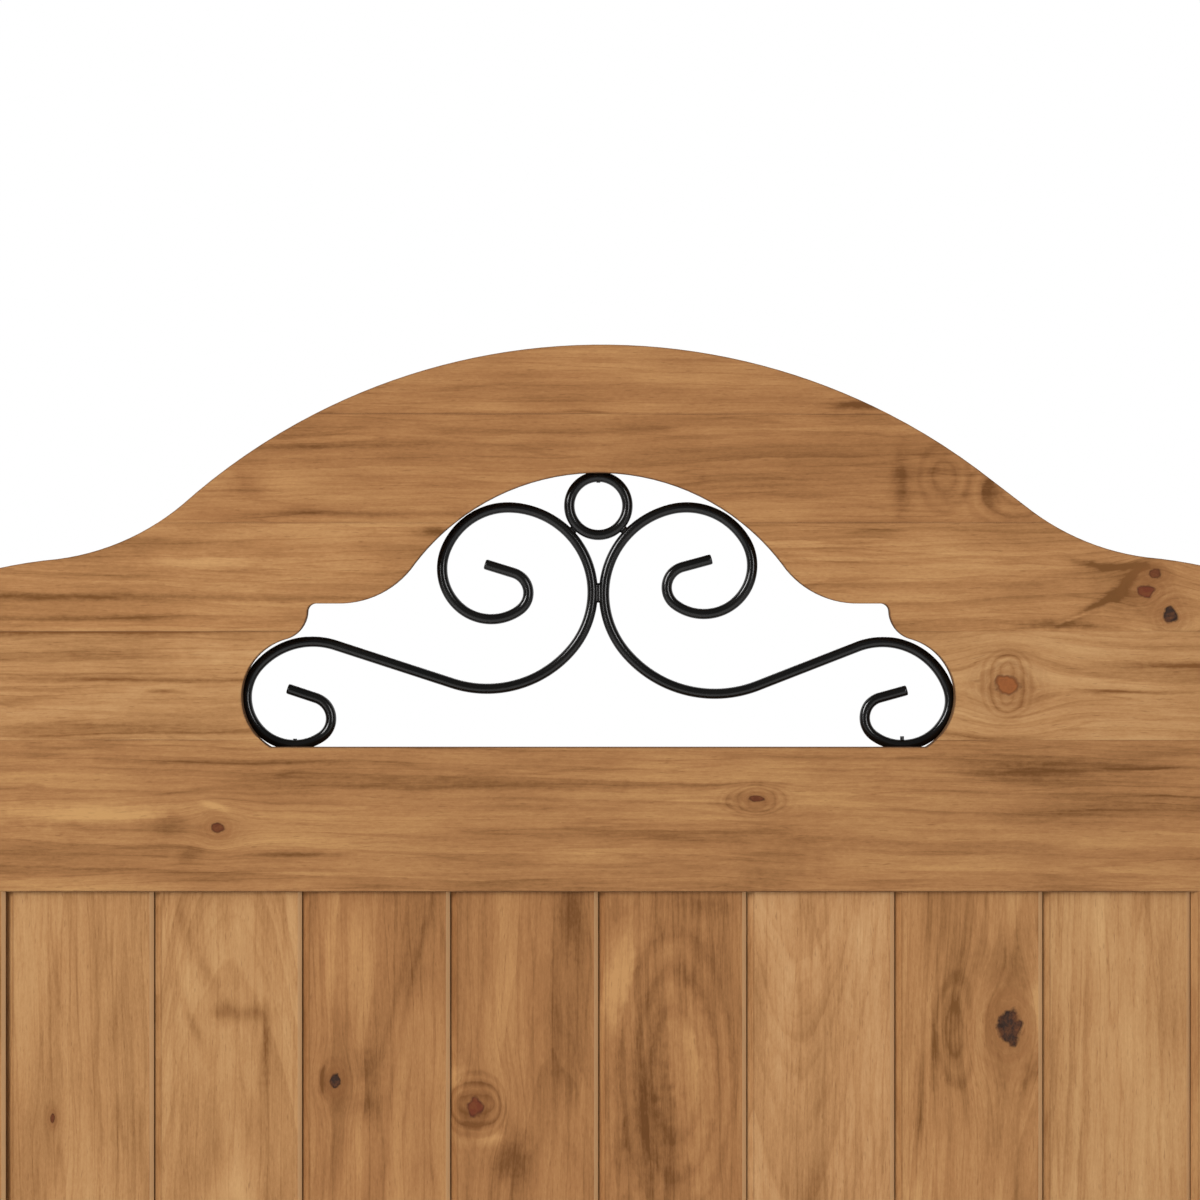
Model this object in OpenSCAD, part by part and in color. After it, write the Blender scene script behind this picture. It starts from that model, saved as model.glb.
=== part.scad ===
// Framed, ledged and braced garden gate, 3 ft wide, with a bell-topped head rail and a
// shaped cut-out that holds a pair of bent iron scrolls and a ring.
// The leaf hangs from two hook-and-band hinges and shuts with a thumb latch.
//
// The origin is the centre of the lower hook plate's screw holes, on the post's back face.
// +X runs from the hinge post to the latch post, +Y is the side that the leaf opens to,
// and +Z is up. The leaf's front faces -Y. The posts themselves aren't part of the gate.

/* [Leaf] */
// Height of the leaf, from its foot to the crest of the head
leaf_h = 1830; // [1600:5:2100]
// Thickness of the stiles and of the head rail
leaf_t = 44; // [40:1:54]
// Width of each stile
stile_w = 95; // [85:1:120]
// Lap of the frame behind the boards
rebate = 18; // [12:1:24]
// Gap between the leaf and the latch post
latch_gap = 6; // [4:0.5:10]

/* [Boards] */
// Cover width of one matchboard
board_w = 90; // [84:1:100]
// Thickness of the matchboards
board_t = 16; // [14:0.5:18]
// How far the boards lie behind the face of the frame
board_recess = 3; // [2:0.5:5]
// Open joint between two boards
board_joint = 0.3; // [0.3:0.1:1.2]
// Length of the tongue
tongue_l = 6; // [4:0.5:8]
// Thickness of the tongue
tongue_t = 5; // [4:0.5:6]
// Play of the tongue in its groove, on each side
tongue_play = 0.2; // [0.1:0.1:0.5]
// Bevel of the V joint along a board's left edge
bevel_l = 4; // [2:0.5:5]
// Bevel of the V joint along a board's right edge
bevel_r = 2.5; // [2:0.5:5]

/* [Head rail] */
// Depth of the head rail at the crest, down to its lower edge
head_h = 332; // [300:2:400]
// Height of the cut-out's sill above the rail's lower edge
sill_h = 87.5; // [70:0.5:110]
// Height of the lowest glue line above the cut-out's sill
first_joint_h = 4.5; // [2:0.5:10]
// Wood sawn off the crest stave above the crest
crest_waste = 24; // [10:1:40]
// Radius of the crest
crest_r = 382; // [370:1:420]
// How far the crest lies to the right of the middle
crest_dx = 2; // [0:0.5:4]
// Slope at the left foot of the crest, in degrees
left_slope = 41; // [36:0.5:42]
// Slope at the right foot of the crest, in degrees
right_slope = 37.5; // [36:0.5:42]
// Straight run between the crest and the hollow on its left
left_ramp_l = 2; // [2:1:20]
// Straight run between the crest and the hollow on its right
right_ramp_l = 34; // [4:1:40]
// Radius of the hollows beside the crest
hollow_r = 148; // [130:1:165]
// Slope where a hollow meets the shoulder, in degrees
shoulder_slope = 6; // [2:0.5:10]
// Radius of the shoulder
shoulder_r = 300; // [280:5:400]

/* [Joinery] */
// Depth of a tenon
tenon_l = 42; // [30:1:45]
// Thickness of a stile's tenon
stile_tenon_t = 15; // [12:1:18]
// Thickness of a ledge's tenon
ledge_tenon_t = 10; // [8:1:12]
// Play between a tenon and its mortise, on each side
tenon_play = 0.15; // [0.1:0.05:0.4]
// Gap left at the end of a tenon
tenon_end = 2; // [1:0.5:4]
// Diameter of the oak pegs
peg_d = 9; // [8:0.5:12]
// Play between a peg and its hole, on each side
peg_play = 0.05; // [0.05:0.05:0.2]

/* [Ledges and braces] */
// Height of a ledge
ledge_h = 150; // [120:2:180]
// Height of the bottom ledge's centre above the foot
bottom_ledge_z = 195; // [150:5:260]
// Height of the middle ledge's centre above the foot
middle_ledge_z = 960; // [860:5:1060]
// Width of a brace
brace_w = 95; // [75:1:110]
// Shank diameter of the screws that hold the boards
screw_d = 4; // [3.5:0.5:5]
// Head diameter of those screws
screw_head_d = 8; // [7:0.5:10]
// Wood left between a screw's tip and the face of the board
screw_cover = 5; // [4:0.5:8]
// Play between a screw and its hole, on each side
screw_play = 0.05; // [0.05:0.05:0.2]

/* [Ironwork] */
// Diameter of the round bar
bar_d = 6.5; // [5:0.5:8]
// Width of the cut-out, over its two lobes
motif_w = 433.5; // [400:0.5:470]
// How far the rebate behind the cut-out is wider than it, all round
iron_rebate = 2.5; // [2:0.1:4]
// Play between the ironwork and the shoulder of the rebate
rebate_play = 0.15; // [0.1:0.05:0.5]
// Gap between the scrolls and the rebate's sill
iron_gap = 0.3; // [0.2:0.05:0.5]
// Gap between a scroll and the rebate beside it
lobe_gap = 1.2; // [0.8:0.1:4]
// Gap between the ring and the rebate above it
ring_gap = 1.3; // [0.2:0.1:2]
// Gap between two bars where they are welded
weld_gap = 0.5; // [0.4:0.1:1.6]
// Length of the weld between the scrolls
weld_l = 12; // [8:1:16]
// Diameter of a weld bead
weld_d = 5; // [3:0.2:5]
// Diameter of the pins that hold the ironwork
pin_d = 2.4; // [2:0.1:3]
// Depth of the pins in the wood
pin_depth = 18; // [10:1:25]
// How far the right-hand pin stands out of its scroll
pin_proud = 2; // [0.5:0.1:3]
// How far the other pins stand out
pin_stub = 0.5; // [0.2:0.1:3]

/* [Hinges] */
// Diameter of the hook's pin
hook_d = 16; // [12:1:19]
// Thickness of the strap
strap_t = 5; // [4:0.5:6]
// Height of the strap at its eye
strap_w = 40; // [35:1:50]
// Height of the strap at its tail
strap_tail_w = 30; // [24:1:34]
// Length of the strap, from the pin's axis
strap_l = 440; // [350:5:550]
// Height of the upper strap's centre above the head rail's lower edge
upper_strap_z = 58; // [52:1:62]
// Running clearance between the pin and the eye
eye_play = 0.1; // [0.03:0.01:0.1]
// Gap between the eye and the arm that it turns on
eye_seat = 0.3; // [0.2:0.05:0.6]
// Distance from the pin's axis to the edge of the leaf
pin_inset = 4; // [2:0.5:8]
// Thickness of a hook's plate
hook_plate_t = 5; // [4:0.5:8]
// Width of a hook's plate
hook_plate_w = 40; // [36:1:50]
// Height of a hook's plate
hook_plate_h = 110; // [100:1:140]
// Distance between a plate's holes, across
hook_hole_x = 22; // [18:1:26]
// Distance between a plate's holes, up and down
hook_hole_z = 84; // [70:1:96]
// Diameter of the holes in a hook's plate
hook_hole_d = 6.5; // [5:0.5:8]
// Gap between a hook's plate and the eye beside it
eye_gap = 2; // [1:0.1:4]
// Height of the arm that carries a hook's pin
arm_h = 14; // [10:1:20]
// Diameter of the coach bolts
bolt_d = 8; // [6:1:10]
// Diameter of the screws in the straps
strap_screw_d = 5; // [4:0.5:6]
// Number of screws in a strap
strap_screws = 4; // [3:1:5]

/* [Latch] */
// Height of the latch bar above the middle ledge's centre
latch_rise = 20; // [0:1:30]
// Travel of the thumb press, in degrees
press_travel = 12; // [8:1:13]
// Width of the latch's front plate
face_plate_w = 44; // [36:1:56]
// Thickness of the latch's plates
plate_t = 3; // [2:0.5:4]
// Diameter of the grip
grip_d = 12; // [10:0.5:14]
// Finger room between the grip and its plate
grip_room = 36; // [30:1:45]
// Height of the grip, between the middles of its legs
grip_h = 120; // [100:1:135]
// Thickness of the thumb press's lever
lever_t = 6; // [4:0.5:8]
// Height of the thumb press's lever
lever_h = 12; // [8:0.5:14]
// Height of the latch bar
latch_bar_h = 20; // [16:1:25]
// Thickness of the latch bar
latch_bar_t = 6; // [5:0.5:8]
// Distance from the latch bar's pivot to the thumb press
latch_bar_arm = 100; // [85:1:130]
// Play of the latch bar against its plate, its guide and its keep
latch_play = 0.3; // [0.2:0.05:0.6]
// Diameter of the latch bar's pivot
pivot_d = 8; // [6:0.5:10]
// Running clearance of the latch's pivots
pivot_play = 0.08; // [0.03:0.01:0.1]
// Height of the keep's lip above the bottom of the latch bar
keep_lip = 11; // [8:1:13]
// Diameter of the holes in the keep
keep_hole_d = 5; // [4:0.5:6]
// Distance between the holes in the keep
keep_hole_z = 66; // [58:1:80]

/* [Hidden] */

$fn = 64;
pine = "#b07c4c";
oak = "#9a6a3e";
iron = "#1c1a19";
steel = "#55524e";

// Places across the gate
board_count = 8;
eye_r = hook_d / 2 + eye_play + strap_t;
pin_x = hook_plate_w / 2 + eye_gap + eye_r;
pin_y = eye_r;
leaf_x0 = pin_x + pin_inset;
panel_x0 = leaf_x0 + stile_w;
panel_x1 = panel_x0 + board_count * board_w;
leaf_x1 = panel_x1 + stile_w;
leaf_w = leaf_x1 - leaf_x0;
mid_x = (leaf_x0 + leaf_x1) / 2;
field_x0 = panel_x0 + rebate;
field_x1 = panel_x1 - rebate;

// Places through the leaf, whose back face is at zero
face_y = -leaf_t;
board_y0 = face_y + board_recess;
board_y1 = board_y0 + board_t;
iron_y = -leaf_t / 2;

// Places up the gate
lower_strap_z = arm_h / 2 + eye_seat + strap_w / 2;
foot_z = lower_strap_z - bottom_ledge_z;
rail_z = foot_z + leaf_h - head_h;
crest_z = foot_z + leaf_h;
sill_z = rail_z + sill_h;
hinge_rise = rail_z + upper_strap_z - lower_strap_z;
bottom_z = foot_z + bottom_ledge_z;
middle_z = foot_z + middle_ledge_z;

// ---------------------------------------------------------------- paths and outlines
// A path is a start [x, z, heading] and steps. A step [length, 0] is straight, and a step
// [radius, turn] is an arc that turns left by turn degrees, or right where it is negative.

function advance(p, s) =
    s[1] == 0 ? [p[0] + s[0] * cos(p[2]), p[1] + s[0] * sin(p[2]), p[2]]
    : let (side = sign(s[1]), out = p[2] + s[1])
      [p[0] + side * s[0] * (sin(out) - sin(p[2])),
       p[1] - side * s[0] * (cos(out) - cos(p[2])), out];

function poses(start, steps, i = 0) =
    i == len(steps) ? [start] : concat([start], poses(advance(start, steps[i]), steps, i + 1));

// Points along a path, a degree apart on its arcs, to find how far it reaches
function trace(start, steps) =
    let (at = poses(start, steps))
    [for (i = [0 : len(steps) - 1]) let (s = steps[i])
        for (a = [0 : 1 : abs(s[1])]) advance(at[i], [s[0], sign(s[1]) * a + (s[1] == 0 ? 0 : 1e-6)])];

function scaled(steps, k) = [for (s = steps) [s[0] * k, s[1]]];
function reversed(list) = [for (i = [len(list) - 1 : -1 : 0]) list[i]];

lap = 1;

// Each arc's circle lies a hair nearer to its tangents' corner than the tangents allow, so
// that it crosses them instead of only touching them
function nudge(r) = 0.02 + r / 10000;
function middle_of(p, s) = p[2] - sign(s[1]) * 90 + s[1] / 2;
function centre_of(p, s) = let (side = sign(s[1]), m = middle_of(p, s))
    [p[0] - side * s[0] * sin(p[2]) + nudge(s[0]) * cos(m),
     p[1] + side * s[0] * cos(p[2]) + nudge(s[0]) * sin(m)];

// A rectangle on an arc's chord, between two distances from it, longer at both ends by over
module on_chord(p, s, low, high, over) {
    translate([p[0], p[1]])
        rotate(p[2] + s[1] / 2)
            translate([-over, low])
                square([2 * s[0] * sin(abs(s[1]) / 2) + 2 * over, high - low]);
}

// What an arc that turns left takes off its chord
module hollow_waste(p, s) {
    intersection() {
        translate(centre_of(p, s)) circle(s[0], $fn = 256);
        on_chord(p, s, -s[0], lap, 2 * sqrt(2 * nudge(s[0]) * s[0]));
    }
}

// What an arc that turns right takes off the corner that its tangents make
module corner_waste(p, s) {
    difference() {
        on_chord(p, s, -lap, s[0] * (1 / cos(s[1] / 2) - cos(s[1] / 2)) + lap, 0);
        translate(centre_of(p, s)) circle(s[0], $fn = 256);
    }
}

// The corners of a path: both ends of a hollow, and the tangents' corner of a bulge
function corners(at, steps) = concat([at[0]],
    [for (i = [0 : len(steps) - 1]) let (s = steps[i]) each
        s[1] < 0 ? [advance(at[i], [s[0] * tan(-s[1] / 2), 0])]
        : s[1] > 0 ? [at[i], at[i + 1]] : []],
    [at[len(steps)]]);

// The region below a path that runs from left to right, down to a level
module below(start, steps, level) {
    at = poses(start, steps);
    difference() {
        polygon(concat([[start[0], level]], [for (p = corners(at, steps)) [p[0], p[1]]],
            [[at[len(steps)][0], level]]));
        for (i = [0 : len(steps) - 1])
            if (steps[i][1] > 0) hollow_waste(at[i], steps[i]);
            else if (steps[i][1] < 0) corner_waste(at[i], steps[i]);
    }
}

// A flat shape in X and Z made a slab between two depths
module slab(y0, y1) {
    translate([0, y1, 0])
        rotate([90, 0, 0])
            linear_extrude(y1 - y0) children();
}

// A flat shape in Y and Z made a slab between two stations along X
module cross_slab(x0, x1) {
    translate([x0, 0, 0])
        rotate([90, 0, 90])
            linear_extrude(x1 - x0) children();
}

// A round bar between two depths
module rod_y(x, z, d, y0, y1) {
    translate([x, y0, z])
        rotate([-90, 0, 0])
            cylinder(d = d, h = y1 - y0);
}

// A block given by its two far corners
module block(a, b) {
    translate(a) cube(b - a);
}

// The first part of a step, as long as asked
function part_of(s, l) = s[1] == 0 ? [l, 0] : [s[0], sign(s[1]) * l / s[0] * 180 / PI];
function length_of(s) = s[1] == 0 ? s[0] : s[0] * abs(s[1]) * PI / 180;

// One straight or one bend of a round bar, from the pose p
module bar_piece(p, s, d, sides = 24) {
    if (s[1] == 0)
        translate([p[0], 0, p[1]])
            rotate([0, 90 - p[2], 0])
                cylinder(d = d, h = s[0]);
    else
        translate([p[0] - sign(s[1]) * s[0] * sin(p[2]), 0,
                   p[1] + sign(s[1]) * s[0] * cos(p[2])])
            rotate([90, 0, 0])
                rotate(s[1] > 0 ? p[2] - 90 : p[2] + 90 + s[1])
                    rotate_extrude(angle = abs(s[1]), $fn = 4 * sides)
                        translate([s[0], 0]) circle(d = d, $fn = sides);
}

// Round bar bent along a path in X and Z. A ball a hair larger than the bar joins its bends.
bend_trim = 0.2;
bend_swell = 0.2;

module bent_bar(start, steps, d) {
    at = poses(start, steps);
    last = len(steps) - 1;
    for (i = [0 : last]) {
        s = steps[i];
        a = i > 0 ? bend_trim : 0;
        b = i < last ? bend_trim : 0;
        bar_piece(advance(at[i], part_of(s, a)), part_of(s, length_of(s) - a - b), d);
        if (i < last)
            translate([at[i + 1][0], 0, at[i + 1][1]])
                rotate([0, 90 - at[i + 1][2], 0])
                    sphere(d = d + bend_swell, $fn = 32);
    }
}

// ---------------------------------------------------------------- head rail
// The outlines are drawn about the middle of the cut-out's sill, and run on past their ends
overrun = 3;
// From an end of the head up to the foot of the crest, w away from the crest's middle
function crest_start(slope) = crest_r * sin(slope);
function hollow_run(slope, ramp_l) =
    ramp_l * cos(slope) + hollow_r * (sin(slope) - sin(shoulder_slope));
function top_half(slope, ramp_l, w) =
    let (run = w - crest_start(slope) - hollow_run(slope, ramp_l),
         end = asin(sin(shoulder_slope) + run / shoulder_r))
    [[shoulder_r, shoulder_slope - end], [hollow_r, slope - shoulder_slope], [ramp_l, 0]];
top_left = top_half(left_slope, left_ramp_l, leaf_w / 2 + crest_dx);
top_right = top_half(right_slope, right_ramp_l, leaf_w / 2 - crest_dx);
top_steps = concat([[overrun, 0]], top_left, [[crest_r, -left_slope - right_slope]],
    reversed(top_right), [[overrun, 0]]);
left_end_slope = shoulder_slope - top_left[0][1];
top_rise = poses([0, 0, left_end_slope], top_left)[3][1] + crest_r * (1 - cos(left_slope));
top_start = advance([-leaf_w / 2, crest_z - top_rise - sill_z, left_end_slope], [-overrun, 0]);

// The cut-out, from its crest down to one side, drawn at a width that motif_w then sets
stave_count = 5;
motif_rise = 167;
motif_half = [[140.5, -53.5], [56, 53.5], [14, 0], [5, -87.5], [18.5, 72]];
lobe_r = 36;

// The cut-out's steps and start, and those of any outline that lies a distance d outside it
function grown(s, d) = s[1] == 0 ? s : [s[0] - sign(s[1]) * d, s[1]];
function lobe_from(d) = poses([0, motif_rise + d, 0], [for (s = motif_half) grown(s, d)])[5];
function lobe_step(d) =
    let (from = lobe_from(d), r = lobe_r + d, mid = from[1] - r * cos(from[2]))
    [r, -acos(-(mid + d) / r) - from[2]];
lobe_reach = lobe_from(0)[0] + lobe_r * (sin(lobe_from(0)[2]) + 1);
motif_k = motif_w / 2 / lobe_reach;
motif_crest_z = sill_z + motif_rise * motif_k;

function cut_side(d) =
    scaled(concat([for (i = [1 : 4]) grown(motif_half[i], d)], [lobe_step(d)]), motif_k);
function cut_steps(d) = concat([[overrun, 0]], reversed(cut_side(d)),
    scaled([[motif_half[0][0] + d, 2 * motif_half[0][1]]], motif_k), cut_side(d), [[overrun, 0]]);
function cut_start(d) = let (foot = advance(lobe_from(d), lobe_step(d)))
    advance([-foot[0] * motif_k, -d * motif_k, -foot[2]], [-overrun, 0]);

module cut_out(d) {
    intersection() {
        below(cut_start(d), cut_steps(d), -2 * overrun);
        translate([-leaf_w / 2, -d * motif_k]) square([leaf_w, head_h]);
    }
}

first_stave_h = sill_h + first_joint_h;
stave_h = (head_h - first_stave_h + crest_waste) / (stave_count - 1);

function stave_z(i) =
    i == 0 ? rail_z : i == stave_count ? crest_z + lap : rail_z + first_stave_h + (i - 1) * stave_h;

// The part of a stave between two places across
module stave(i, x0, x1) {
    translate([mid_x, 0, sill_z])
        difference() {
            slab(face_y, 0) intersection() {
                difference() {
                    below(top_start, top_steps, rail_z - sill_z);
                    cut_out(0);
                }
                translate([x0 - mid_x, stave_z(i - 1) - sill_z])
                    square([x1 - x0, stave_z(i) - stave_z(i - 1)]);
            }
            slab(iron_y - bar_d / 2 - rebate_play, lap) cut_out(iron_rebate / motif_k);
        }
}

module head_stave_1() {
    color(pine) difference() {
        union() {
            stave(1, leaf_x0, leaf_x1);
            block([field_x0, board_y1, rail_z - rebate], [field_x1, 0, rail_z + lap]);
        }
        for (x = stile_mids) stile_tenon(x, tenon_play, tenon_end);
        strap_bolt_hole(rail_z + upper_strap_z);
        head_peg_holes();
        for (x = board_mids) screw_hole(x, head_screw_z);
        strap_screw_holes(rail_z + upper_strap_z);
        pin_holes();
    }
}

module head_stave_2_left() {
    color(pine) stave(2, leaf_x0, mid_x);
}

module head_stave_2_right() {
    color(pine) stave(2, mid_x, leaf_x1);
}

module head_stave_3_left() {
    color(pine) stave(3, leaf_x0, mid_x);
}

module head_stave_3_right() {
    color(pine) stave(3, mid_x, leaf_x1);
}

module head_stave_4() {
    color(pine) difference() {
        stave(4, leaf_x0, leaf_x1);
        pin_holes();
    }
}

module head_stave_5() {
    color(pine) stave(5, leaf_x0, leaf_x1);
}

// ---------------------------------------------------------------- stiles
stile_mids = [leaf_x0 + stile_w / 2, leaf_x1 - stile_w / 2];
stile_tenon_w = stile_w - 35;
peg_pitch = 30;
head_peg_z = rail_z + tenon_l / 2;

module stile_tenon(x, play, end) {
    y = face_y + leaf_t / 2;
    block([x - stile_tenon_w / 2 - play, y - stile_tenon_t / 2 - play, rail_z - lap],
          [x + stile_tenon_w / 2 + play, y + stile_tenon_t / 2 + play, rail_z + tenon_l + end]);
}

// A stile with the lap that backs the boards, its foot on the ground line
module stile(x_out, x_in, bevel, inward) {
    translate([0, 0, foot_z])
        linear_extrude(rail_z - foot_z)
            polygon([
                [x_out, face_y], [x_in - inward * bevel, face_y], [x_in, face_y + bevel],
                [x_in, board_y1], [x_in + inward * rebate, board_y1],
                [x_in + inward * rebate, 0], [x_out, 0]
            ]);
}

module hinge_stile() {
    color(pine) difference() {
        union() {
            stile(leaf_x0, panel_x0, bevel_r, 1);
            stile_tenon(stile_mids[0], 0, 0);
        }
        for (z = [bottom_z, middle_z]) ledge_tenon(field_x0, -1, z, tenon_play, tenon_end);
        head_peg_holes();
        ledge_peg_holes();
        strap_bolt_hole(bottom_z);
    }
}

module latch_stile() {
    color(pine) difference() {
        union() {
            stile(leaf_x1, panel_x1, bevel_l, -1);
            stile_tenon(stile_mids[1], 0, 0);
        }
        for (z = [bottom_z, middle_z]) ledge_tenon(field_x1, 1, z, tenon_play, tenon_end);
        head_peg_holes();
        ledge_peg_holes();
        press_slot(face_y - lap, lap, lever_slot_play);
        latch_front_holes();
        guide_screw_holes();
    }
}

// ---------------------------------------------------------------- boards
board_mids = [for (i = [0 : board_count - 1]) panel_x0 + (i + 0.5) * board_w];
tongue_y = (board_y0 + bevel_l + board_y1) / 2;
groove_l = tongue_l - board_joint + 0.5;

// Plan of one board from its left cover line, with or without its tongue and its groove
module board_plan(tongue, groove) {
    left = board_joint / 2;
    right = board_w - board_joint / 2;
    t = tongue_t / 2;
    g = tongue_t / 2 + tongue_play;
    difference() {
        union() {
            polygon([
                [left + bevel_l, board_y0], [right - bevel_r, board_y0],
                [right, board_y0 + bevel_r], [right, board_y1], [left, board_y1],
                [left, board_y0 + bevel_l]
            ]);
            if (tongue)
                translate([left - tongue_l, tongue_y - t]) square([tongue_l + lap, 2 * t]);
        }
        if (groove)
            translate([right - groove_l, tongue_y - g]) square([groove_l + lap, 2 * g]);
    }
}

module board(i) {
    x = panel_x0 + (i - 1) * board_w;
    color(pine) difference() {
        translate([x, 0, foot_z])
            linear_extrude(rail_z - board_joint - foot_z)
                board_plan(i > 1, i < board_count);
        screw_hole(board_mids[i - 1], head_screw_z);
        for (z = ledge_screw_zs) screw_hole(board_mids[i - 1], z);
        for (b = brace_fields) screw_hole(board_mids[i - 1], brace_z(b, board_mids[i - 1]));
        for (x = strap_screw_xs)
            if (abs(x - board_mids[i - 1]) < board_w / 2 + strap_screw_d) strap_screw_hole(x, bottom_z);
    }
}

module board_1() { board(1); }
module board_2() { board(2); }
module board_3() { board(3); }
module board_4() { board(4); }
module board_5() { board(5); }
module board_6() { board(6); }
module board_7() { board(7); }
module board_8() { board(8); }

// ---------------------------------------------------------------- ledges and braces
ledge_tenon_h = ledge_h - 40;
ledge_peg_x = [field_x0 - tenon_l + 12, field_x1 + tenon_l - 12];

// A ledge's tenon, out of the field's edge towards the side given
module ledge_tenon(x, side, z, play, end) {
    y = board_y1 / 2;
    reach = x + side * (tenon_l + end);
    block([min(x - side * lap, reach), y - ledge_tenon_t / 2 - play, z - ledge_tenon_h / 2 - play],
          [max(x - side * lap, reach), y + ledge_tenon_t / 2 + play, z + ledge_tenon_h / 2 + play]);
}

module ledge(z) {
    difference() {
        union() {
            block([field_x0, board_y1, z - ledge_h / 2], [field_x1, 0, z + ledge_h / 2]);
            ledge_tenon(field_x0, -1, z, 0, 0);
            ledge_tenon(field_x1, 1, z, 0, 0);
        }
        ledge_peg_holes();
        for (x = board_mids, dz = ledge_screw_rows) screw_hole(x, z + dz);
    }
}

module middle_ledge() {
    color(pine) difference() {
        ledge(middle_z);
        pivot_holes();
    }
}

module bottom_ledge() {
    color(pine) difference() {
        ledge(bottom_z);
        strap_screw_holes(bottom_z);
    }
}

// The two fields that the braces cross, each as its lowest and highest level
brace_fields = [
    [middle_z + ledge_h / 2, rail_z - rebate],
    [bottom_z + ledge_h / 2, middle_z - ledge_h / 2]
];

function brace_z(field, x) =
    field[0] + (field[1] - field[0]) * (x - field_x0) / (field_x1 - field_x0);

// A brace that rises from the hinge side to the latch side, cut to fit both corners
module brace(field) {
    difference() {
        slab(board_y1, 0) intersection() {
            translate([field_x0, field[0]])
                square([field_x1 - field_x0, field[1] - field[0]]);
            translate([field_x0, field[0]])
                rotate(atan2(field[1] - field[0], field_x1 - field_x0))
                    translate([-brace_w, -brace_w / 2])
                        square([norm([field_x1 - field_x0, field[1] - field[0]]) + 2 * brace_w, brace_w]);
        }
        for (x = board_mids) screw_hole(x, brace_z(field, x));
    }
}

module upper_brace() {
    color(pine) brace(brace_fields[0]);
}

module lower_brace() {
    color(pine) brace(brace_fields[1]);
}

// ---------------------------------------------------------------- pegs and wood screws
head_screw_z = rail_z - rebate / 2;
ledge_screw_rows = [20 - ledge_h / 2, ledge_h / 2 - 20];
ledge_screw_zs = [for (z = [bottom_z, middle_z], dz = ledge_screw_rows) z + dz];
screw_l = -(board_y0 + screw_cover);
head_pegs = [for (x = stile_mids, dx = [-peg_pitch / 2, peg_pitch / 2]) [x + dx, head_peg_z]];
ledge_pegs = [for (x = ledge_peg_x, z = [bottom_z, middle_z], dz = [-peg_pitch, peg_pitch])
    [x, z + dz]];

module head_peg_holes() {
    for (p = head_pegs) rod_y(p[0], p[1], peg_d + 2 * peg_play, face_y - lap, lap);
}

module ledge_peg_holes() {
    for (p = ledge_pegs) rod_y(p[0], p[1], peg_d + 2 * peg_play, face_y - lap, lap);
}

module joint_pegs() {
    color(oak)
        for (p = concat(head_pegs, ledge_pegs)) rod_y(p[0], p[1], peg_d, face_y, 0);
}

// A countersunk screw driven from the back, with its head flush; play makes its hole
module wood_screw(x, z, play, proud) {
    head = (screw_head_d - screw_d) / 2;
    translate([x, 0, z]) rotate([90, 0, 0]) {
        translate([0, 0, head]) cylinder(d = screw_d + 2 * play, h = screw_l - head + play);
        cylinder(d1 = screw_head_d + 2 * play, d2 = screw_d + 2 * play, h = head);
        if (proud > 0) translate([0, 0, -proud]) cylinder(d = screw_head_d + 2 * play, h = proud);
    }
}

module screw_hole(x, z) {
    wood_screw(x, z, screw_play, lap);
}

module head_screws() {
    color(steel) for (x = board_mids) wood_screw(x, head_screw_z, 0, 0);
}

module ledge_screws() {
    color(steel) for (x = board_mids, z = ledge_screw_zs) wood_screw(x, z, 0, 0);
}

module brace_screws() {
    color(steel) for (x = board_mids, f = brace_fields) wood_screw(x, brace_z(f, x), 0, 0);
}

// ---------------------------------------------------------------- ironwork
// Each scroll is two bends that start at the weld: one up to the upper curl, and one down
// and out to the lower curl. Both are drawn for the left side, at the width of the cut-out.
left_up = [[51.8, 89.1], [41.2, 68.9], [31.3, 69.6], [29.5, 78.8], [12.8, 126.4], [18.5, 0]];
left_down = [[54.5, -41.2], [68, -66.8], [75.4, 0], [44.6, 66.8], [28.4, 48.6], [29.4, 116.5],
    [13.3, 71.8], [13.4, 56], [18.5, 0]];
right_up = [[52.9, 75.1], [42, 72.9], [29.5, 97], [29.4, 60.8], [13, 129], [18.5, 0]];
right_down = [[55.4, -40.8], [71.3, -70.5], [65.3, 0], [42.3, 91.4], [23.3, 47.2], [29.8, 97.6],
    [13.6, 80.3], [12, 49.3], [17.5, 0]];

pin_play = 0.05;
ring_weld_gap = 0.4;
weld_seat = 0.05;
weld_x = (bar_d + weld_gap) / 2;
scroll_room = motif_w / 2 + iron_rebate - lobe_gap - bar_d / 2 - weld_x;
scroll_seat = sill_z - iron_rebate + iron_gap + bar_d / 2;
ring_top_z = motif_crest_z + iron_rebate - ring_gap;

function reach_of(down) = -min([for (p = trace([0, 0, -90], down)) p[0]]);
function scroll_k(down) = scroll_room / reach_of(down);
function weld_z(down) =
    scroll_seat - scroll_k(down) * min([for (p = trace([0, 0, -90], down)) p[1]]);
// How far from the middle the lower curl rests on the sill
function rest_x(down) =
    let (at = trace([0, 0, -90], down), low = min([for (p = at) p[1]]))
    weld_x - scroll_k(down) * [for (p = at) if (p[1] == low) p[0]][0];

// The whole scroll, from the tip of the upper curl to the tip of the lower one
module scroll(up, down) {
    k = scroll_k(down);
    tip = poses([-weld_x, weld_z(down), 90], scaled(up, k))[len(up)];
    back = [for (s = reversed(up)) [s[0], -s[1]]];
    bent_bar([tip[0], tip[1], tip[2] + 180], scaled(concat(back, down), k), bar_d);
}

module left_scroll() {
    color(iron) difference() {
        translate([mid_x, iron_y, 0]) scroll(left_up, left_down);
        pin_holes();
    }
}

module right_scroll() {
    color(iron) difference() {
        translate([mid_x, iron_y, 0]) mirror([1, 0, 0]) scroll(right_up, right_down);
        pin_holes();
    }
}

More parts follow.
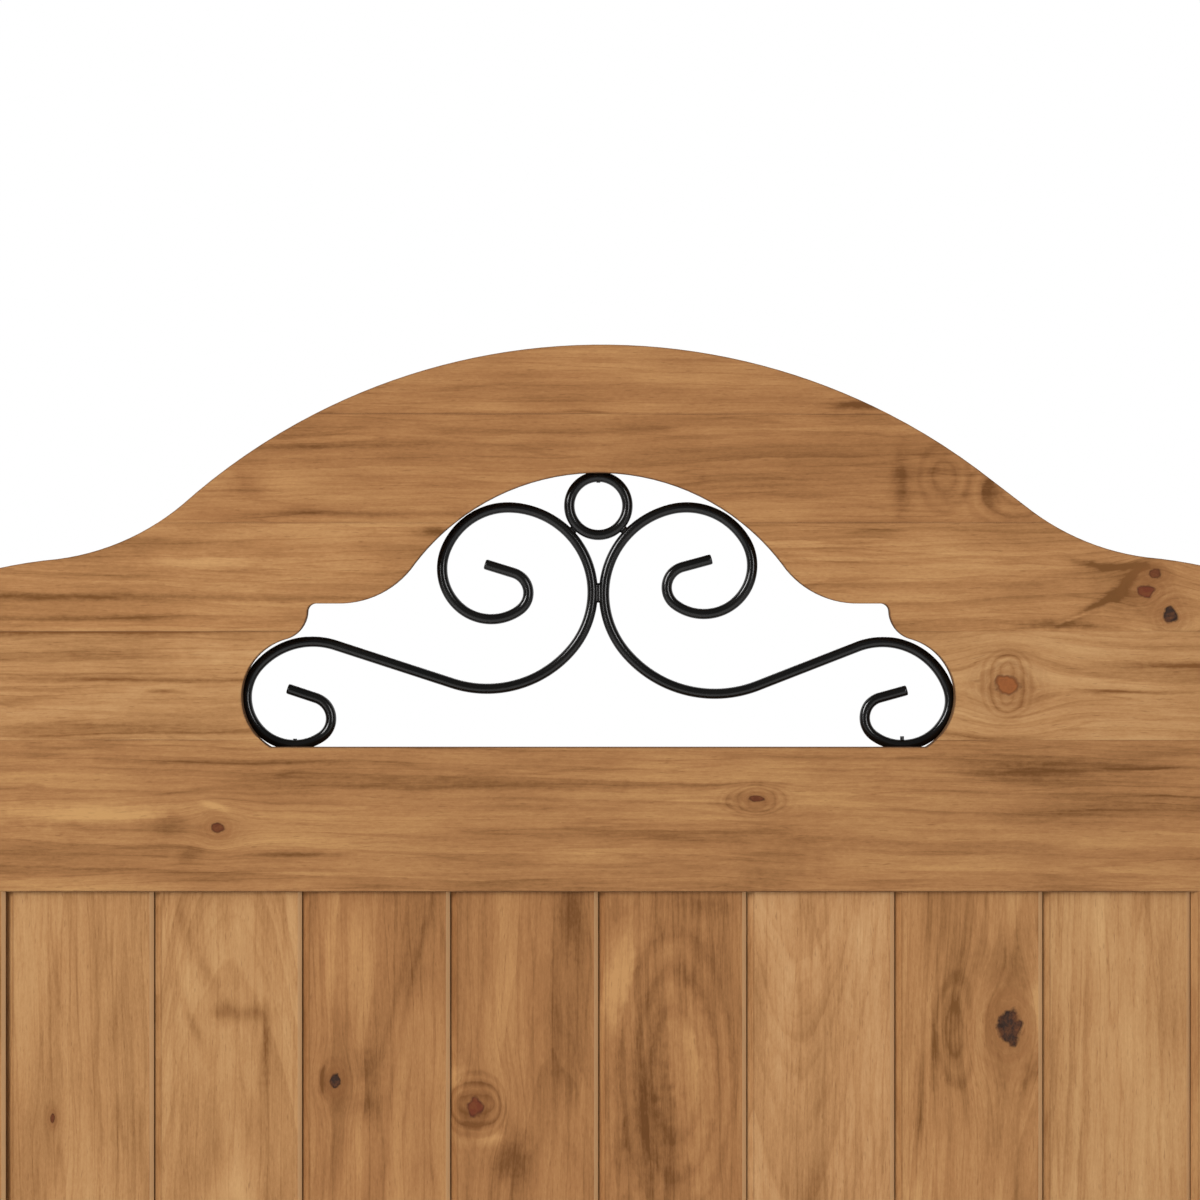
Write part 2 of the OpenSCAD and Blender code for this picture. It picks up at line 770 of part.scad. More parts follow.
// The ring stands up behind the crest of the cut-out and leaves a weld's gap to the nearer scroll
function ring_fit(up, down) =
    let (r = up[0][0] * scroll_k(down), h = ring_top_z - weld_z(down),
         s = r + bar_d / 2 + ring_weld_gap)
    (pow(weld_x + r, 2) + h * h - s * s) / (2 * (h + s));
ring_out_r = min(ring_fit(left_up, left_down), ring_fit(right_up, right_down));
ring_r = ring_out_r - bar_d / 2;
ring_z = ring_top_z - ring_out_r;

module crest_ring() {
    color(iron) difference() {
        translate([mid_x, iron_y, ring_z])
            rotate([90, 0, 0])
                rotate_extrude($fn = 96) translate([ring_r, 0]) circle(d = bar_d, $fn = 32);
        pin_holes();
    }
}

// A bead along a line in X and Z, tapered at both ends
module bead(a, b) {
    turn = atan2(b[1] - a[1], b[0] - a[0]);
    l = norm(b - a);
    r = weld_d / 2;
    translate([mid_x + a[0], iron_y, a[1]])
        rotate([0, 90 - turn, 0])
            rotate_extrude($fn = 72)
                polygon([[0, 0], [r / 2, 0], [r, r / 2], [r, l - r / 2], [r / 2, l], [0, l]]);
}

// The bars beside the welds, a little larger, to trim the beads to them
module bars_at_welds() {
    d = bar_d + bend_swell + 2 * weld_seat;
    translate([mid_x, iron_y, 0]) {
        for (side = [[left_up, left_down, 0], [right_up, right_down, 1]]) {
            r = side[0][0][0] * scroll_k(side[1]);
            back = asin(weld_l / r);
            below = advance([-weld_x, weld_z(side[1]), -90], [r, -back]);
            mirror([side[2], 0, 0])
                bar_piece([below[0], below[1], below[2] + 180], [r, side[0][0][1] + back], d, 72);
        }
        translate([0, 0, ring_z])
            rotate([90, 0, 0])
                rotate_extrude($fn = 288) translate([ring_r, 0]) circle(d = d, $fn = 72);
    }
}

module scroll_welds() {
    mid = (weld_z(left_down) + weld_z(right_down)) / 2;
    half = weld_l / 2;
    color(iron) difference() {
        union() {
            bead([0, mid - half], [0, mid + half]);
            for (side = [[left_up, left_down, -1], [right_up, right_down, 1]]) {
                r = side[0][0][0] * scroll_k(side[1]);
                lean = atan2(ring_z - weld_z(side[1]), weld_x + r);
                touch = [side[2] * (weld_x + r - (r + bar_d / 2) * cos(lean)),
                         weld_z(side[1]) + (r + bar_d / 2) * sin(lean)];
                along = [side[2] * sin(lean), cos(lean)];
                bead(touch - along * weld_d / 2, touch + along * weld_d / 2);
            }
        }
        bars_at_welds();
    }
}

// The pins: two down through the lower curls, and one up through the top of the ring
low_pins = [[mid_x - rest_x(left_down), pin_stub], [mid_x + rest_x(right_down), pin_proud]];

module pin_holes() {
    for (p = low_pins)
        translate([p[0], iron_y, sill_z - pin_depth - pin_play])
            cylinder(d = pin_d + 2 * pin_play, h = pin_depth + bar_d + 2);
    translate([mid_x, iron_y, motif_crest_z - bar_d - 2])
        cylinder(d = pin_d + 2 * pin_play, h = pin_depth + bar_d + 2 + pin_play);
}

module scroll_pins() {
    top = scroll_seat + bar_d / 2;
    foot = ring_top_z - bar_d - pin_stub;
    color(iron) {
        for (p = low_pins)
            translate([p[0], iron_y, sill_z - pin_depth])
                cylinder(d = pin_d, h = pin_depth + top - sill_z + p[1]);
        translate([mid_x, iron_y, foot])
            cylinder(d = pin_d, h = motif_crest_z + pin_depth - foot);
    }
}

// ---------------------------------------------------------------- hinges
strap_bolt_x = stile_mids[0];
strap_first_x = field_x0 + 25;
strap_last_x = pin_x + strap_l - strap_tail_w / 2;
strap_screw_xs = [for (i = [0 : strap_screws - 1])
    strap_first_x + i * (strap_last_x - strap_first_x) / (strap_screws - 1)];
strap_screw_l = 34;
fixing_play = 0.05;

module strap_bolt_hole(z) {
    rod_y(strap_bolt_x, z, bolt_d + 2 * fixing_play, face_y - lap, strap_t + lap);
}

module strap_screw_hole(x, z) {
    rod_y(x, z, strap_screw_d + 2 * fixing_play, strap_t - strap_screw_l - fixing_play, strap_t + lap);
}

module strap_screw_holes(z) {
    for (x = strap_screw_xs) strap_screw_hole(x, z);
}

// A strap that tapers to a round tail, with a rolled eye about the pin
module strap(z) {
    difference() {
        union() {
            slab(0, strap_t) {
                polygon([
                    [pin_x + lap, z - strap_w / 2], [strap_last_x, z - strap_tail_w / 2],
                    [strap_last_x, z + strap_tail_w / 2], [pin_x + lap, z + strap_w / 2]
                ]);
                translate([strap_last_x, z]) circle(d = strap_tail_w);
            }
            translate([pin_x, pin_y, z - strap_w / 2]) cylinder(r = eye_r, h = strap_w);
        }
        translate([pin_x, pin_y, z - strap_w / 2 - lap])
            cylinder(d = hook_d + 2 * eye_play, h = strap_w + 2 * lap);
        strap_bolt_hole(z);
        strap_screw_holes(z);
    }
}

module upper_strap() {
    color(iron) strap(rail_z + upper_strap_z);
}

module lower_strap() {
    color(iron) strap(bottom_z);
}

// A plate for the post, with an arm that carries the pin
module hook() {
    arm_w = 2 * (pin_y - hook_plate_t);
    tip = 3;
    difference() {
        union() {
            slab(0, hook_plate_t)
                translate([-hook_plate_w / 2, -hook_plate_h / 2])
                    square([hook_plate_w, hook_plate_h]);
            translate([0, 0, -arm_h / 2])
                linear_extrude(arm_h) {
                    translate([6 - hook_plate_w / 2, hook_plate_t - lap])
                        square([pin_x + hook_plate_w / 2 - 6, arm_w + lap]);
                    translate([pin_x, pin_y]) circle(d = arm_w);
                }
            translate([pin_x, pin_y, 0]) {
                cylinder(d = hook_d, h = arm_h / 2 + eye_seat + strap_w + 2);
                translate([0, 0, arm_h / 2 + eye_seat + strap_w + 2])
                    cylinder(d1 = hook_d, d2 = hook_d - 2 * tip, h = tip);
            }
        }
        for (x = [-hook_hole_x / 2, hook_hole_x / 2], z = [-hook_hole_z / 2, hook_hole_z / 2])
            rod_y(x, z, hook_hole_d, -lap, hook_plate_t + lap);
    }
}

module lower_hook() {
    color(iron) hook();
}

module upper_hook() {
    color(iron) translate([0, 0, hinge_rise]) hook();
}

washer_t = 1.6;
nut_t = 6.5;
nut_seat = 0.05;
bolt_end = 3;
strap_zs = [rail_z + upper_strap_z, bottom_z];

// A domed head that stands on the face at y, towards -Y or +Y
module dome(x, y, z, d, h, side) {
    r = (d * d / 4 + h * h) / (2 * h);
    intersection() {
        translate([x, y + side * (h - r), z]) sphere(r);
        rod_y(x, z, d, min(y, y + side * h), max(y, y + side * h));
    }
}

module coach_bolts() {
    color(iron) for (z = strap_zs) {
        rod_y(strap_bolt_x, z, bolt_d, face_y, strap_t + washer_t + nut_t + bolt_end);
        dome(strap_bolt_x, face_y, z, 2.4 * bolt_d, 0.5 * bolt_d, -1);
    }
}

module coach_nuts() {
    color(iron) for (z = strap_zs) {
        difference() {
            rod_y(strap_bolt_x, z, 2.2 * bolt_d, strap_t, strap_t + washer_t);
            rod_y(strap_bolt_x, z, bolt_d + 2 * fixing_play, 0, strap_t + 2 * washer_t);
        }
        difference() {
            translate([strap_bolt_x, strap_t + washer_t + nut_seat, z])
                rotate([-90, 0, 0])
                    cylinder(d = 1.85 * bolt_d, h = nut_t, $fn = 6);
            rod_y(strap_bolt_x, z, bolt_d + 2 * fixing_play, strap_t, strap_t + 2 * nut_t);
        }
    }
}

// A dome-headed screw driven from the back through metal that ends at y
module dome_screw(x, y, z, d, l) {
    rod_y(x, z, d, y - l, y);
    dome(x, y, z, 2 * d, 0.5 * d, 1);
}

module strap_screws() {
    color(iron)
        for (z = strap_zs, x = strap_screw_xs)
            dome_screw(x, strap_t, z, strap_screw_d, strap_screw_l);
}

// ---------------------------------------------------------------- latch
latch_x = stile_mids[1];
latch_z = middle_z + latch_rise;
bar_y0 = plate_t + latch_play;
bar_y1 = bar_y0 + latch_bar_t;
bar_pivot_x = latch_x - latch_bar_arm;
bar_low_z = latch_z - latch_bar_h / 2;
ear_reach = 8;
ear_t = 3;
ear_r = 7;
press_y = face_y - plate_t - ear_reach;
tail_gap = 0.4;
press_z = bar_low_z - tail_gap - lever_h / 2;
lever_slot_play = 1.5;
thumb_pin_d = 5;
latch_screw_d = 4;
latch_screw_l = 24;
grip_top_z = press_z - 34;
grip_low_z = grip_top_z - grip_h;
plate_top_z = press_z + 36;
plate_low_z = grip_low_z - 30;
spigot_d = 8;
latch_front_zs = [plate_top_z - 10, plate_low_z + 12];

// The slot that the lever passes through, tall enough for its travel at the far end
module press_slot(y0, y1, play) {
    rise = (y1 - press_y) * tan(press_travel) + lever_h / 2 / cos(press_travel);
    block([latch_x - lever_t / 2 - play, y0, press_z - lever_h / 2 - play],
          [latch_x + lever_t / 2 + play, y1, press_z + rise + play]);
}

// A tall plate with round ends between two levels
module long_plate(x, w, z0, z1) {
    translate([x - w / 2, z0 + w / 2]) square([w, z1 - z0 - w]);
    for (z = [z0 + w / 2, z1 - w / 2]) translate([x, z]) circle(d = w);
}

module latch_front_holes() {
    for (z = latch_front_zs)
        rod_y(latch_x, z, latch_screw_d + 2 * fixing_play,
              face_y - plate_t - lap, face_y - plate_t + latch_screw_l + fixing_play);
}

module latch_plate() {
    ear_x = lever_t / 2 + latch_play;
    color(iron) difference() {
        union() {
            slab(face_y - plate_t, face_y)
                long_plate(latch_x, face_plate_w, plate_low_z, plate_top_z);
            for (x0 = [latch_x - ear_x - ear_t, latch_x + ear_x])
                cross_slab(x0, x0 + ear_t) {
                    translate([press_y, press_z - ear_r])
                        square([ear_reach + lap, 2 * ear_r]);
                    translate([press_y, press_z]) circle(ear_r);
                }
        }
        translate([latch_x - ear_x - ear_t - lap, press_y, press_z])
            rotate([0, 90, 0])
                cylinder(d = thumb_pin_d + 2 * fixing_play, h = 2 * (ear_x + ear_t + lap));
        press_slot(face_y - plate_t - lap, face_y + lap, latch_play);
        for (z = [grip_top_z, grip_low_z])
            rod_y(latch_x, z, spigot_d + 2 * fixing_play, face_y - plate_t - lap, face_y + lap);
        latch_front_holes();
    }
}

// A bar bent into a D, whose legs end in spigots through the plate
module latch_grip() {
    bend = 18;
    out = grip_room + grip_d / 2 - bend;
    color(iron) translate([latch_x, face_y - plate_t, 0]) {
        rotate([0, 0, -90])
            bent_bar([0, grip_top_z, 0],
                [[out, 0], [bend, -90], [grip_h - 2 * bend, 0], [bend, -90], [out, 0]], grip_d);
        for (z = [grip_top_z, grip_low_z]) rod_y(0, z, spigot_d, -lap, plate_t);
    }
}

// A dished thumb pad on a lever that passes through the stile and ends under the latch bar
module thumb_press() {
    pad_w = 28;
    pad_l = 40;
    pad_t = 5;
    dish_r = 70;
    tail_y = bar_y1 + 10;
    top_z = press_z + lever_h / 2;
    color(iron) difference() {
        union() {
            cross_slab(latch_x - lever_t / 2, latch_x + lever_t / 2) {
                translate([press_y - 10, press_z - lever_h / 2])
                    square([tail_y - lever_h / 2 - press_y + 10, lever_h]);
                translate([tail_y - lever_h / 2, press_z]) circle(d = lever_h);
                translate([press_y - 10, press_z]) circle(d = lever_h);
            }
            translate([0, 0, top_z - pad_t])
                linear_extrude(pad_t) {
                    translate([latch_x, press_y - pad_l + pad_w / 2]) circle(d = pad_w);
                    translate([latch_x - pad_w / 2, press_y - pad_l + pad_w / 2])
                        square([pad_w, pad_l - pad_w / 2 - ear_r - 1.5]);
                }
        }
        translate([latch_x - lever_t, press_y, press_z])
            rotate([0, 90, 0])
                cylinder(d = thumb_pin_d + 2 * pivot_play, h = 2 * lever_t);
        translate([latch_x, press_y - pad_l + pad_w / 2, top_z + dish_r - 1.5]) sphere(dish_r, $fn = 128);
    }
}

module thumb_pin() {
    half = lever_t / 2 + latch_play + ear_t;
    color(iron) translate([latch_x, press_y, press_z]) rotate([0, 90, 0]) {
        translate([0, 0, -half]) cylinder(d = thumb_pin_d, h = 2 * half);
        for (z = [-half - 1.5, half]) translate([0, 0, z]) cylinder(d = thumb_pin_d + 3, h = 1.5);
    }
}

module latch_front_screws() {
    color(iron) for (z = latch_front_zs) {
        rod_y(latch_x, z, latch_screw_d, face_y - plate_t, face_y - plate_t + latch_screw_l);
        dome(latch_x, face_y - plate_t, z, 2 * latch_screw_d, 0.5 * latch_screw_d, -1);
    }
}

// The guide on the back of the stile, and the keep on the post
guide_w = 14;
guide_x = leaf_x1 - 6 - guide_w;
guide_wall = 3;
guide_arm = 5;
bar_lean = atan((bar_y1 - press_y) * tan(press_travel) / (latch_bar_arm - lever_t / 2));
guide_top_z = latch_z + latch_bar_h / 2 / cos(bar_lean) + 2
    + (leaf_x1 - bar_pivot_x) * tan(bar_lean);
guide_flange = 16;
guide_screw_zs = [bar_low_z - latch_play - guide_arm - guide_flange / 2,
                  guide_top_z + guide_arm + guide_flange / 2];
keep_x = leaf_x1 + latch_gap + 4;
keep_w = 28;
keep_block_w = 16;
bar_end_x = keep_x + keep_block_w + 6;
back_room = 0.6;

module latch_bar() {
    nose = 6;
    half = latch_bar_h / 2;
    color(iron) difference() {
        slab(bar_y0, bar_y1) {
            translate([bar_pivot_x, latch_z]) circle(half);
            polygon([
                [bar_pivot_x, bar_low_z], [bar_end_x - nose, bar_low_z],
                [bar_end_x, bar_low_z + nose], [bar_end_x, latch_z + half],
                [bar_pivot_x, latch_z + half]
            ]);
        }
        rod_y(bar_pivot_x, latch_z, pivot_d + 2 * pivot_play, 0, bar_y1 + lap);
    }
}

pivot_plate_w = 40;
pivot_plate_h = 60;
pivot_screws = [for (dx = [-12, 12], dz = [-22, 22]) [bar_pivot_x + dx, latch_z + dz]];

module pivot_holes() {
    for (p = pivot_screws)
        rod_y(p[0], p[1], latch_screw_d + 2 * fixing_play,
              plate_t - latch_screw_l - fixing_play, plate_t + lap);
}

module pivot_plate() {
    color(iron) difference() {
        slab(0, plate_t)
            translate([bar_pivot_x - pivot_plate_w / 2, latch_z - pivot_plate_h / 2])
                square([pivot_plate_w, pivot_plate_h]);
        rod_y(bar_pivot_x, latch_z, pivot_d + 2 * fixing_play, -lap, plate_t + lap);
        pivot_holes();
    }
}

module pivot_stud() {
    y = bar_y1 + latch_play;
    color(iron) {
        rod_y(bar_pivot_x, latch_z, pivot_d, 0, y);
        dome(bar_pivot_x, y, latch_z, 2 * pivot_d, 0.5 * pivot_d, 1);
    }
}

module guide_screw_holes() {
    for (z = guide_screw_zs)
        rod_y(guide_x + guide_w / 2, z, latch_screw_d + 2 * fixing_play,
              plate_t - latch_screw_l - fixing_play, plate_t + lap);
}

module bar_guide() {
    low = bar_low_z - latch_play;
    y1 = bar_y1 + back_room;
    color(iron) difference() {
        cross_slab(guide_x, guide_x + guide_w) difference() {
            union() {
                translate([0, low - guide_arm])
                    square([y1 + guide_wall, guide_top_z - low + 2 * guide_arm]);
                translate([0, low - guide_arm - guide_flange])
                    square([plate_t, guide_top_z - low + 2 * (guide_arm + guide_flange)]);
            }
            translate([plate_t, low]) square([y1 - plate_t, guide_top_z - low]);
        }
        guide_screw_holes();
    }
}

module latch_back_screws() {
    color(iron) {
        for (p = pivot_screws) dome_screw(p[0], plate_t, p[1], latch_screw_d, latch_screw_l);
        for (z = guide_screw_zs)
            dome_screw(guide_x + guide_w / 2, plate_t, z, latch_screw_d, latch_screw_l);
    }
}

// The keep: a shelf under the latch bar, a lip behind it and a ramp that lifts it on closing
module latch_keep() {
    shelf = bar_low_z - latch_play;
    lip_y = bar_y1 + back_room;
    lip_t = 2.5;
    ramp = 14;
    depth = 12;
    half_h = keep_hole_z / 2 + 10;
    color(iron) difference() {
        union() {
            slab(0, plate_t)
                translate([keep_x, latch_z - half_h]) square([keep_w, 2 * half_h]);
            cross_slab(keep_x, keep_x + keep_block_w)
                polygon([
                    [plate_t - lap, shelf - depth], [plate_t - lap, shelf], [lip_y, shelf],
                    [lip_y, bar_low_z + keep_lip], [lip_y + lip_t, bar_low_z + keep_lip],
                    [lip_y + lip_t + ramp, shelf - depth / 2],
                    [lip_y + lip_t + ramp, shelf - depth]
                ]);
        }
        for (dz = [-keep_hole_z / 2, keep_hole_z / 2])
            rod_y(keep_x + keep_w / 2, latch_z + dz, keep_hole_d, -lap, plate_t + lap);
    }
}

head_stave_1();
head_stave_2_left();
head_stave_2_right();
head_stave_3_left();
head_stave_3_right();
head_stave_4();
head_stave_5();
hinge_stile();
latch_stile();
board_1();
board_2();
board_3();
board_4();
board_5();
board_6();
board_7();
board_8();
middle_ledge();
bottom_ledge();
upper_brace();
lower_brace();
joint_pegs();
head_screws();
ledge_screws();
brace_screws();
left_scroll();
right_scroll();
crest_ring();
scroll_welds();
scroll_pins();
upper_strap();
lower_strap();
upper_hook();
lower_hook();
coach_bolts();
coach_nuts();
strap_screws();
latch_plate();
latch_grip();
thumb_press();
thumb_pin();
latch_front_screws();
latch_bar();
pivot_plate();
pivot_stud();
bar_guide();
latch_back_screws();
latch_keep();
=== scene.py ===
import math

import bpy
import numpy as np
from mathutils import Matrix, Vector


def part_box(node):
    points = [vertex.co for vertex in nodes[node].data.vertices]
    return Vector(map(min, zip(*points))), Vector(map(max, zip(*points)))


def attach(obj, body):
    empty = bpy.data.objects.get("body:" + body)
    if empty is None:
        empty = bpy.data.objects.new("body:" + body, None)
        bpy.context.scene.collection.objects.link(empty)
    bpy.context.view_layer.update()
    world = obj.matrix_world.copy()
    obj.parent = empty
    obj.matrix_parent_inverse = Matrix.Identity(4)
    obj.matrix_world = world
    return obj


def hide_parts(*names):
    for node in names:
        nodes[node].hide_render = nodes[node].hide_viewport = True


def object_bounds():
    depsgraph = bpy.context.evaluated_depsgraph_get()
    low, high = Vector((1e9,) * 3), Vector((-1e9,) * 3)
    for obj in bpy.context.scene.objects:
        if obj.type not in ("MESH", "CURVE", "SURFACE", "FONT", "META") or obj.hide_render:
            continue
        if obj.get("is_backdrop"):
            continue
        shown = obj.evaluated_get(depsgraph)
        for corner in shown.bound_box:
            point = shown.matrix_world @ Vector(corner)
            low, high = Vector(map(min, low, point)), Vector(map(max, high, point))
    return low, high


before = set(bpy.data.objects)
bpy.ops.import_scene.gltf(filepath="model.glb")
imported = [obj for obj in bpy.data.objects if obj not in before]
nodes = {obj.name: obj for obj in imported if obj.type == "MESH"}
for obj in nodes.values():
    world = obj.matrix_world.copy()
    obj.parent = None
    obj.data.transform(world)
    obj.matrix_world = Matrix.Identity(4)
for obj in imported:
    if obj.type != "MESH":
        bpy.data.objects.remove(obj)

cad_low, cad_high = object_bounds()

# All sizes and places are in millimetres, in the frame's own axes
MM = 0.001
IRON_Y = -22.0      # the ironwork lies at half the thickness of the leaf
PANEL_X0 = 134.1    # where the first board meets the hinge stile
BOARD_W = 90.0      # what each board covers
RAIL_Z = 1330.3     # the head rail's lower edge
SILL_Z = 1417.8     # the sill of the cut-out
MID_X = 494.1       # the middle of the cut-out
GLUE_Z = 1422.3     # the head rail's first glue line
STAVE_H = 66.0      # from one glue line to the next


# ------------------------------------------------------------------ small helpers
def linear(code, alpha=1.0):
    """A colour written as sRGB hex, turned to the linear values that Blender works in."""
    parts = [int(code[i:i + 2], 16) / 255 for i in (1, 3, 5)]
    return [c / 12.92 if c <= 0.04045 else ((c + 0.055) / 1.055) ** 2.4 for c in parts] + [alpha]


def add(tree, kind, sockets=None, out=0, stops=None, **settings):
    """Adds one node with its settings, and the values or links that go into its sockets."""
    node = tree.nodes.new("ShaderNode" + kind)
    for key, value in settings.items():
        setattr(node, key, value)
    if stops:
        ramp = node.color_ramp
        while len(ramp.elements) < len(stops):
            ramp.elements.new(0.5)
        for element, (place, colour) in zip(ramp.elements, stops):
            element.position = place
            element.color = linear(colour) if isinstance(colour, str) else [colour] * 3 + [1.0]
    for key, value in (sockets or {}).items():
        if isinstance(value, bpy.types.NodeSocket):
            tree.links.new(value, node.inputs[key])
        else:
            node.inputs[key].default_value = value
    return node.outputs[out]


def new_material(name):
    """An empty node material of that name, with its output, ready for add()."""
    material = bpy.data.materials.new(name)
    material.use_nodes = True
    material.node_tree.nodes.clear()
    return material, material.node_tree


def finish_surface(tree, colour, roughness, bump=None, **fixed):
    """The Principled shader at the end of every finish; fixed values go straight on its sockets."""
    sockets = {"Base Color": colour, "Roughness": roughness}
    sockets.update({key.replace("_", " "): value for key, value in fixed.items()})
    if bump is not None:
        sockets["Normal"] = bump
    shader = add(tree, "BsdfPrincipled", sockets)
    output = tree.nodes.new("ShaderNodeOutputMaterial")
    tree.links.new(shader, output.inputs["Surface"])


def wear(piece, material):
    """Puts one finish on every slot of a piece."""
    piece.data.materials.clear()
    piece.data.materials.append(material)


# ------------------------------------------------------------------ stained and waxed pine
# Redwood pine, sawn, planed and sanded, with a honey stain under wax. The late wood and the
# knots take the stain darker, the fibres show as fine flecks, and the wax leaves a low satin.
# Rings stand 6 to 10 mm apart, as in flat-sawn boards. Fibres are far finer than 0.8 mm, and
# are drawn that coarse so that they show.
PLANKS = {}
REDDISH = "#b0784a"      # heartwood under the stain
RESIN = "#6e4526"        # resin dashes
HALO = "#83532e"         # stained wood round a knot
BURR = "#7d4b2a"         # paler wood inside a knot
JOINT_DUST_AND_SHADE = "#7a4f2a"  # stain and dust held in a V joint, and painted shade of the V
RAIL_SHADE = "#7a5030"   # painted shadow on the boards' tops, under the head rail's step
PAINTED_BEVEL_LIGHT = "#dbb080"   # painted light: a paler colour on the bevels that face right, lifting the shade they lie in
SAWN_STAIN_AND_SHADE = "#432a1b"         # sawn faces: partly the stain they drink, partly painted shade
EASED_EDGE_SHADE = "#5a3a24"        # painted shade on the eased edge of the routed outline
SAWN_SHADE_RAIL, SAWN_SHADE_PLANK = 0.72, 0.3   # how far a face seen edge-on takes that colour of stain and painted shade
EASED_MM = 1.5                      # radius of the eased edge
JOINT_STRENGTH = 1.5
# Dark strips at a V joint: middle and half width, how ragged in mm, and depth
JOINT_STRIPS = ((-0.6, 0.9, 1.2, 0.55), (2.2, 2.2, 1.6, 0.16), (4.4, 0.8, 1.3, 0.5))


def pine(name, grain, tone, pith, ring, tilt, contrast=1.0, knots=(), smudges=(), swirls=(),
         lie=0.0, seed=0.0):
    """A plank's finish. Rings are cylinders about a pith line: a point's ring is its distance
    from that line across the grain, plus tilt times its place along the grain, over the ring's
    width. g runs along the grain, a across the face and b through it, all in millimetres. Each
    knot pushes the rings aside by a falling exponential of its elliptical distance. A smudge is
    a bell of stain, the exponential of minus the distance squared, that may lean. A swirl is a
    nest of rings round a hidden knot. A plank that lies at an angle has its grain turned by that
    angle about Y."""
    on_rail = name.startswith("head_stave")
    material, t = new_material("stained_pine_" + name)

    def stretched(source, size_g, size_a, detail=2.0, rough=0.5, out=0):
        """Noise whose spots are size_g mm long along the grain and size_a mm across it."""
        at = add(t, "VectorMath", {0: source, 1: (1 / size_g, 1 / size_a, 1 / size_a), 2: own},
                 operation="MULTIPLY_ADD")
        return add(t, "TexNoise", {"Vector": at, "Scale": 1.0, "Detail": detail,
                                   "Roughness": rough}, out=out)

    def oval(source, g0, a0, length_g, length_a, lean=0.0):
        """Position over an oval's half lengths, so that its rim is at a length of one."""
        if lean:
            source = add(t, "VectorRotate", {"Vector": source, "Center": (g0, a0, 0.0),
                                             "Angle": math.radians(-lean)},
                         rotation_type="Z_AXIS")
        return add(t, "VectorMath", {0: source, 1: (1 / length_g, 1 / length_a, 0),
                   2: (-g0 / length_g, -a0 / length_a, 0)}, operation="MULTIPLY_ADD")

    def ring_noise(phase, step, shift, detail, rough=0.5):
        """Noise that changes from ring to ring and stays the same along each one."""
        at = add(t, "Math", {0: phase, 1: step, 2: seed + shift}, operation="MULTIPLY_ADD")
        return add(t, "TexNoise", {"W": at, "Scale": 1.0, "Detail": detail, "Roughness": rough},
                   noise_dimensions="1D")

    place = add(t, "TexCoord", out="Object")
    mm = add(t, "VectorMath", {0: place, 3: 1000.0}, operation="SCALE")
    if lie:
        mm = add(t, "VectorRotate", {"Vector": mm, "Angle": lie}, rotation_type="Y_AXIS")
    parts = t.nodes.new("ShaderNodeSeparateXYZ")
    t.links.new(mm, parts.inputs[0])
    x, y, z = parts.outputs
    g, a = (x, z) if grain == "x" else (z, x)
    gab = add(t, "CombineXYZ", {0: g, 1: a, 2: y})
    own = (seed * 131.7, seed * 57.3, seed * 23.1)

    # the log's slow wander, and smaller ones
    bent = gab
    for size_g, size_a, swing in ((260, 110, 9.0), (70, 24, 3.2), (16, 7, 0.8)):
        wander = stretched(gab, size_g, size_a, out=1)
        wander = add(t, "VectorMath", {0: wander, 1: (0.5, 0.5, 0.5)}, operation="SUBTRACT")
        wander = add(t, "VectorMath", {0: wander, 1: (0.0, swing, swing)}, operation="MULTIPLY")
        bent = add(t, "VectorMath", {0: bent, 1: wander}, operation="ADD")

    # knots push the rings aside
    ragged = add(t, "TexNoise", {"Vector": gab, "Scale": 0.16, "Detail": 3.0}, out=1)
    ragged = add(t, "VectorMath", {0: ragged, 1: (0.5, 0.5, 0.5)}, operation="SUBTRACT")
    ragged = add(t, "VectorMath", {0: ragged, 1: (1.1, 1.1, 0.0)}, operation="MULTIPLY")
    hearts = []
    for kg, ka, length_g, length_a, wood in knots:
        v = oval(gab, kg, ka, length_g, length_a)
        q = add(t, "VectorMath", {0: v, 1: v}, out=1, operation="DOT_PRODUCT")
        q = add(t, "Math", {0: q, 1: -0.09}, operation="MULTIPLY")
        near = add(t, "Math", {0: q}, operation="EXPONENT")
        push = add(t, "VectorMath", {0: v, 1: (0, -length_a * 0.95, 0)}, operation="MULTIPLY")
        push = add(t, "VectorMath", {0: push, 3: near}, operation="SCALE")
        bent = add(t, "VectorMath", {0: bent, 1: push}, operation="ADD")
        worn = add(t, "VectorMath", {0: v, 1: ragged}, operation="ADD")
        hearts.append((add(t, "VectorMath", {0: worn}, out=1, operation="LENGTH"), wood))

    # rings: each pales out from the last one's hard edge, and fine ones run between
    pa, pb, pg = pith
    off = add(t, "VectorMath", {0: bent, 1: (0, 1, 1), 2: (0, -pa, -pb)}, operation="MULTIPLY_ADD")
    r = add(t, "VectorMath", {0: off}, out=1, operation="LENGTH")
    along = add(t, "Math", {0: g, 1: tilt / ring, 2: -tilt * pg / ring}, operation="MULTIPLY_ADD")
    phase = add(t, "Math", {0: r, 1: 1 / ring, 2: along}, operation="MULTIPLY_ADD")
    phase = add(t, "Math", {0: ring_noise(phase, 0.31, 0.0, 1.0), 1: 2.4, 2: phase},
                operation="MULTIPLY_ADD")
    tooth = add(t, "Math", {0: phase}, operation="FRACT")
    late = add(t, "ValToRGB", {0: tooth},
               stops=[(0.0, 0.25), (0.1, 0.0), (0.5, 0.08), (0.88, 1.0), (0.97, 0.7)])
    third = add(t, "Math", {0: phase, 1: 3.0}, operation="MULTIPLY")
    third = add(t, "Math", {0: third}, operation="FRACT")
    fine = add(t, "ValToRGB", {0: third}, stops=[(0.0, 0.0), (0.55, 0.0), (0.9, 1.0), (1.0, 0.0)])

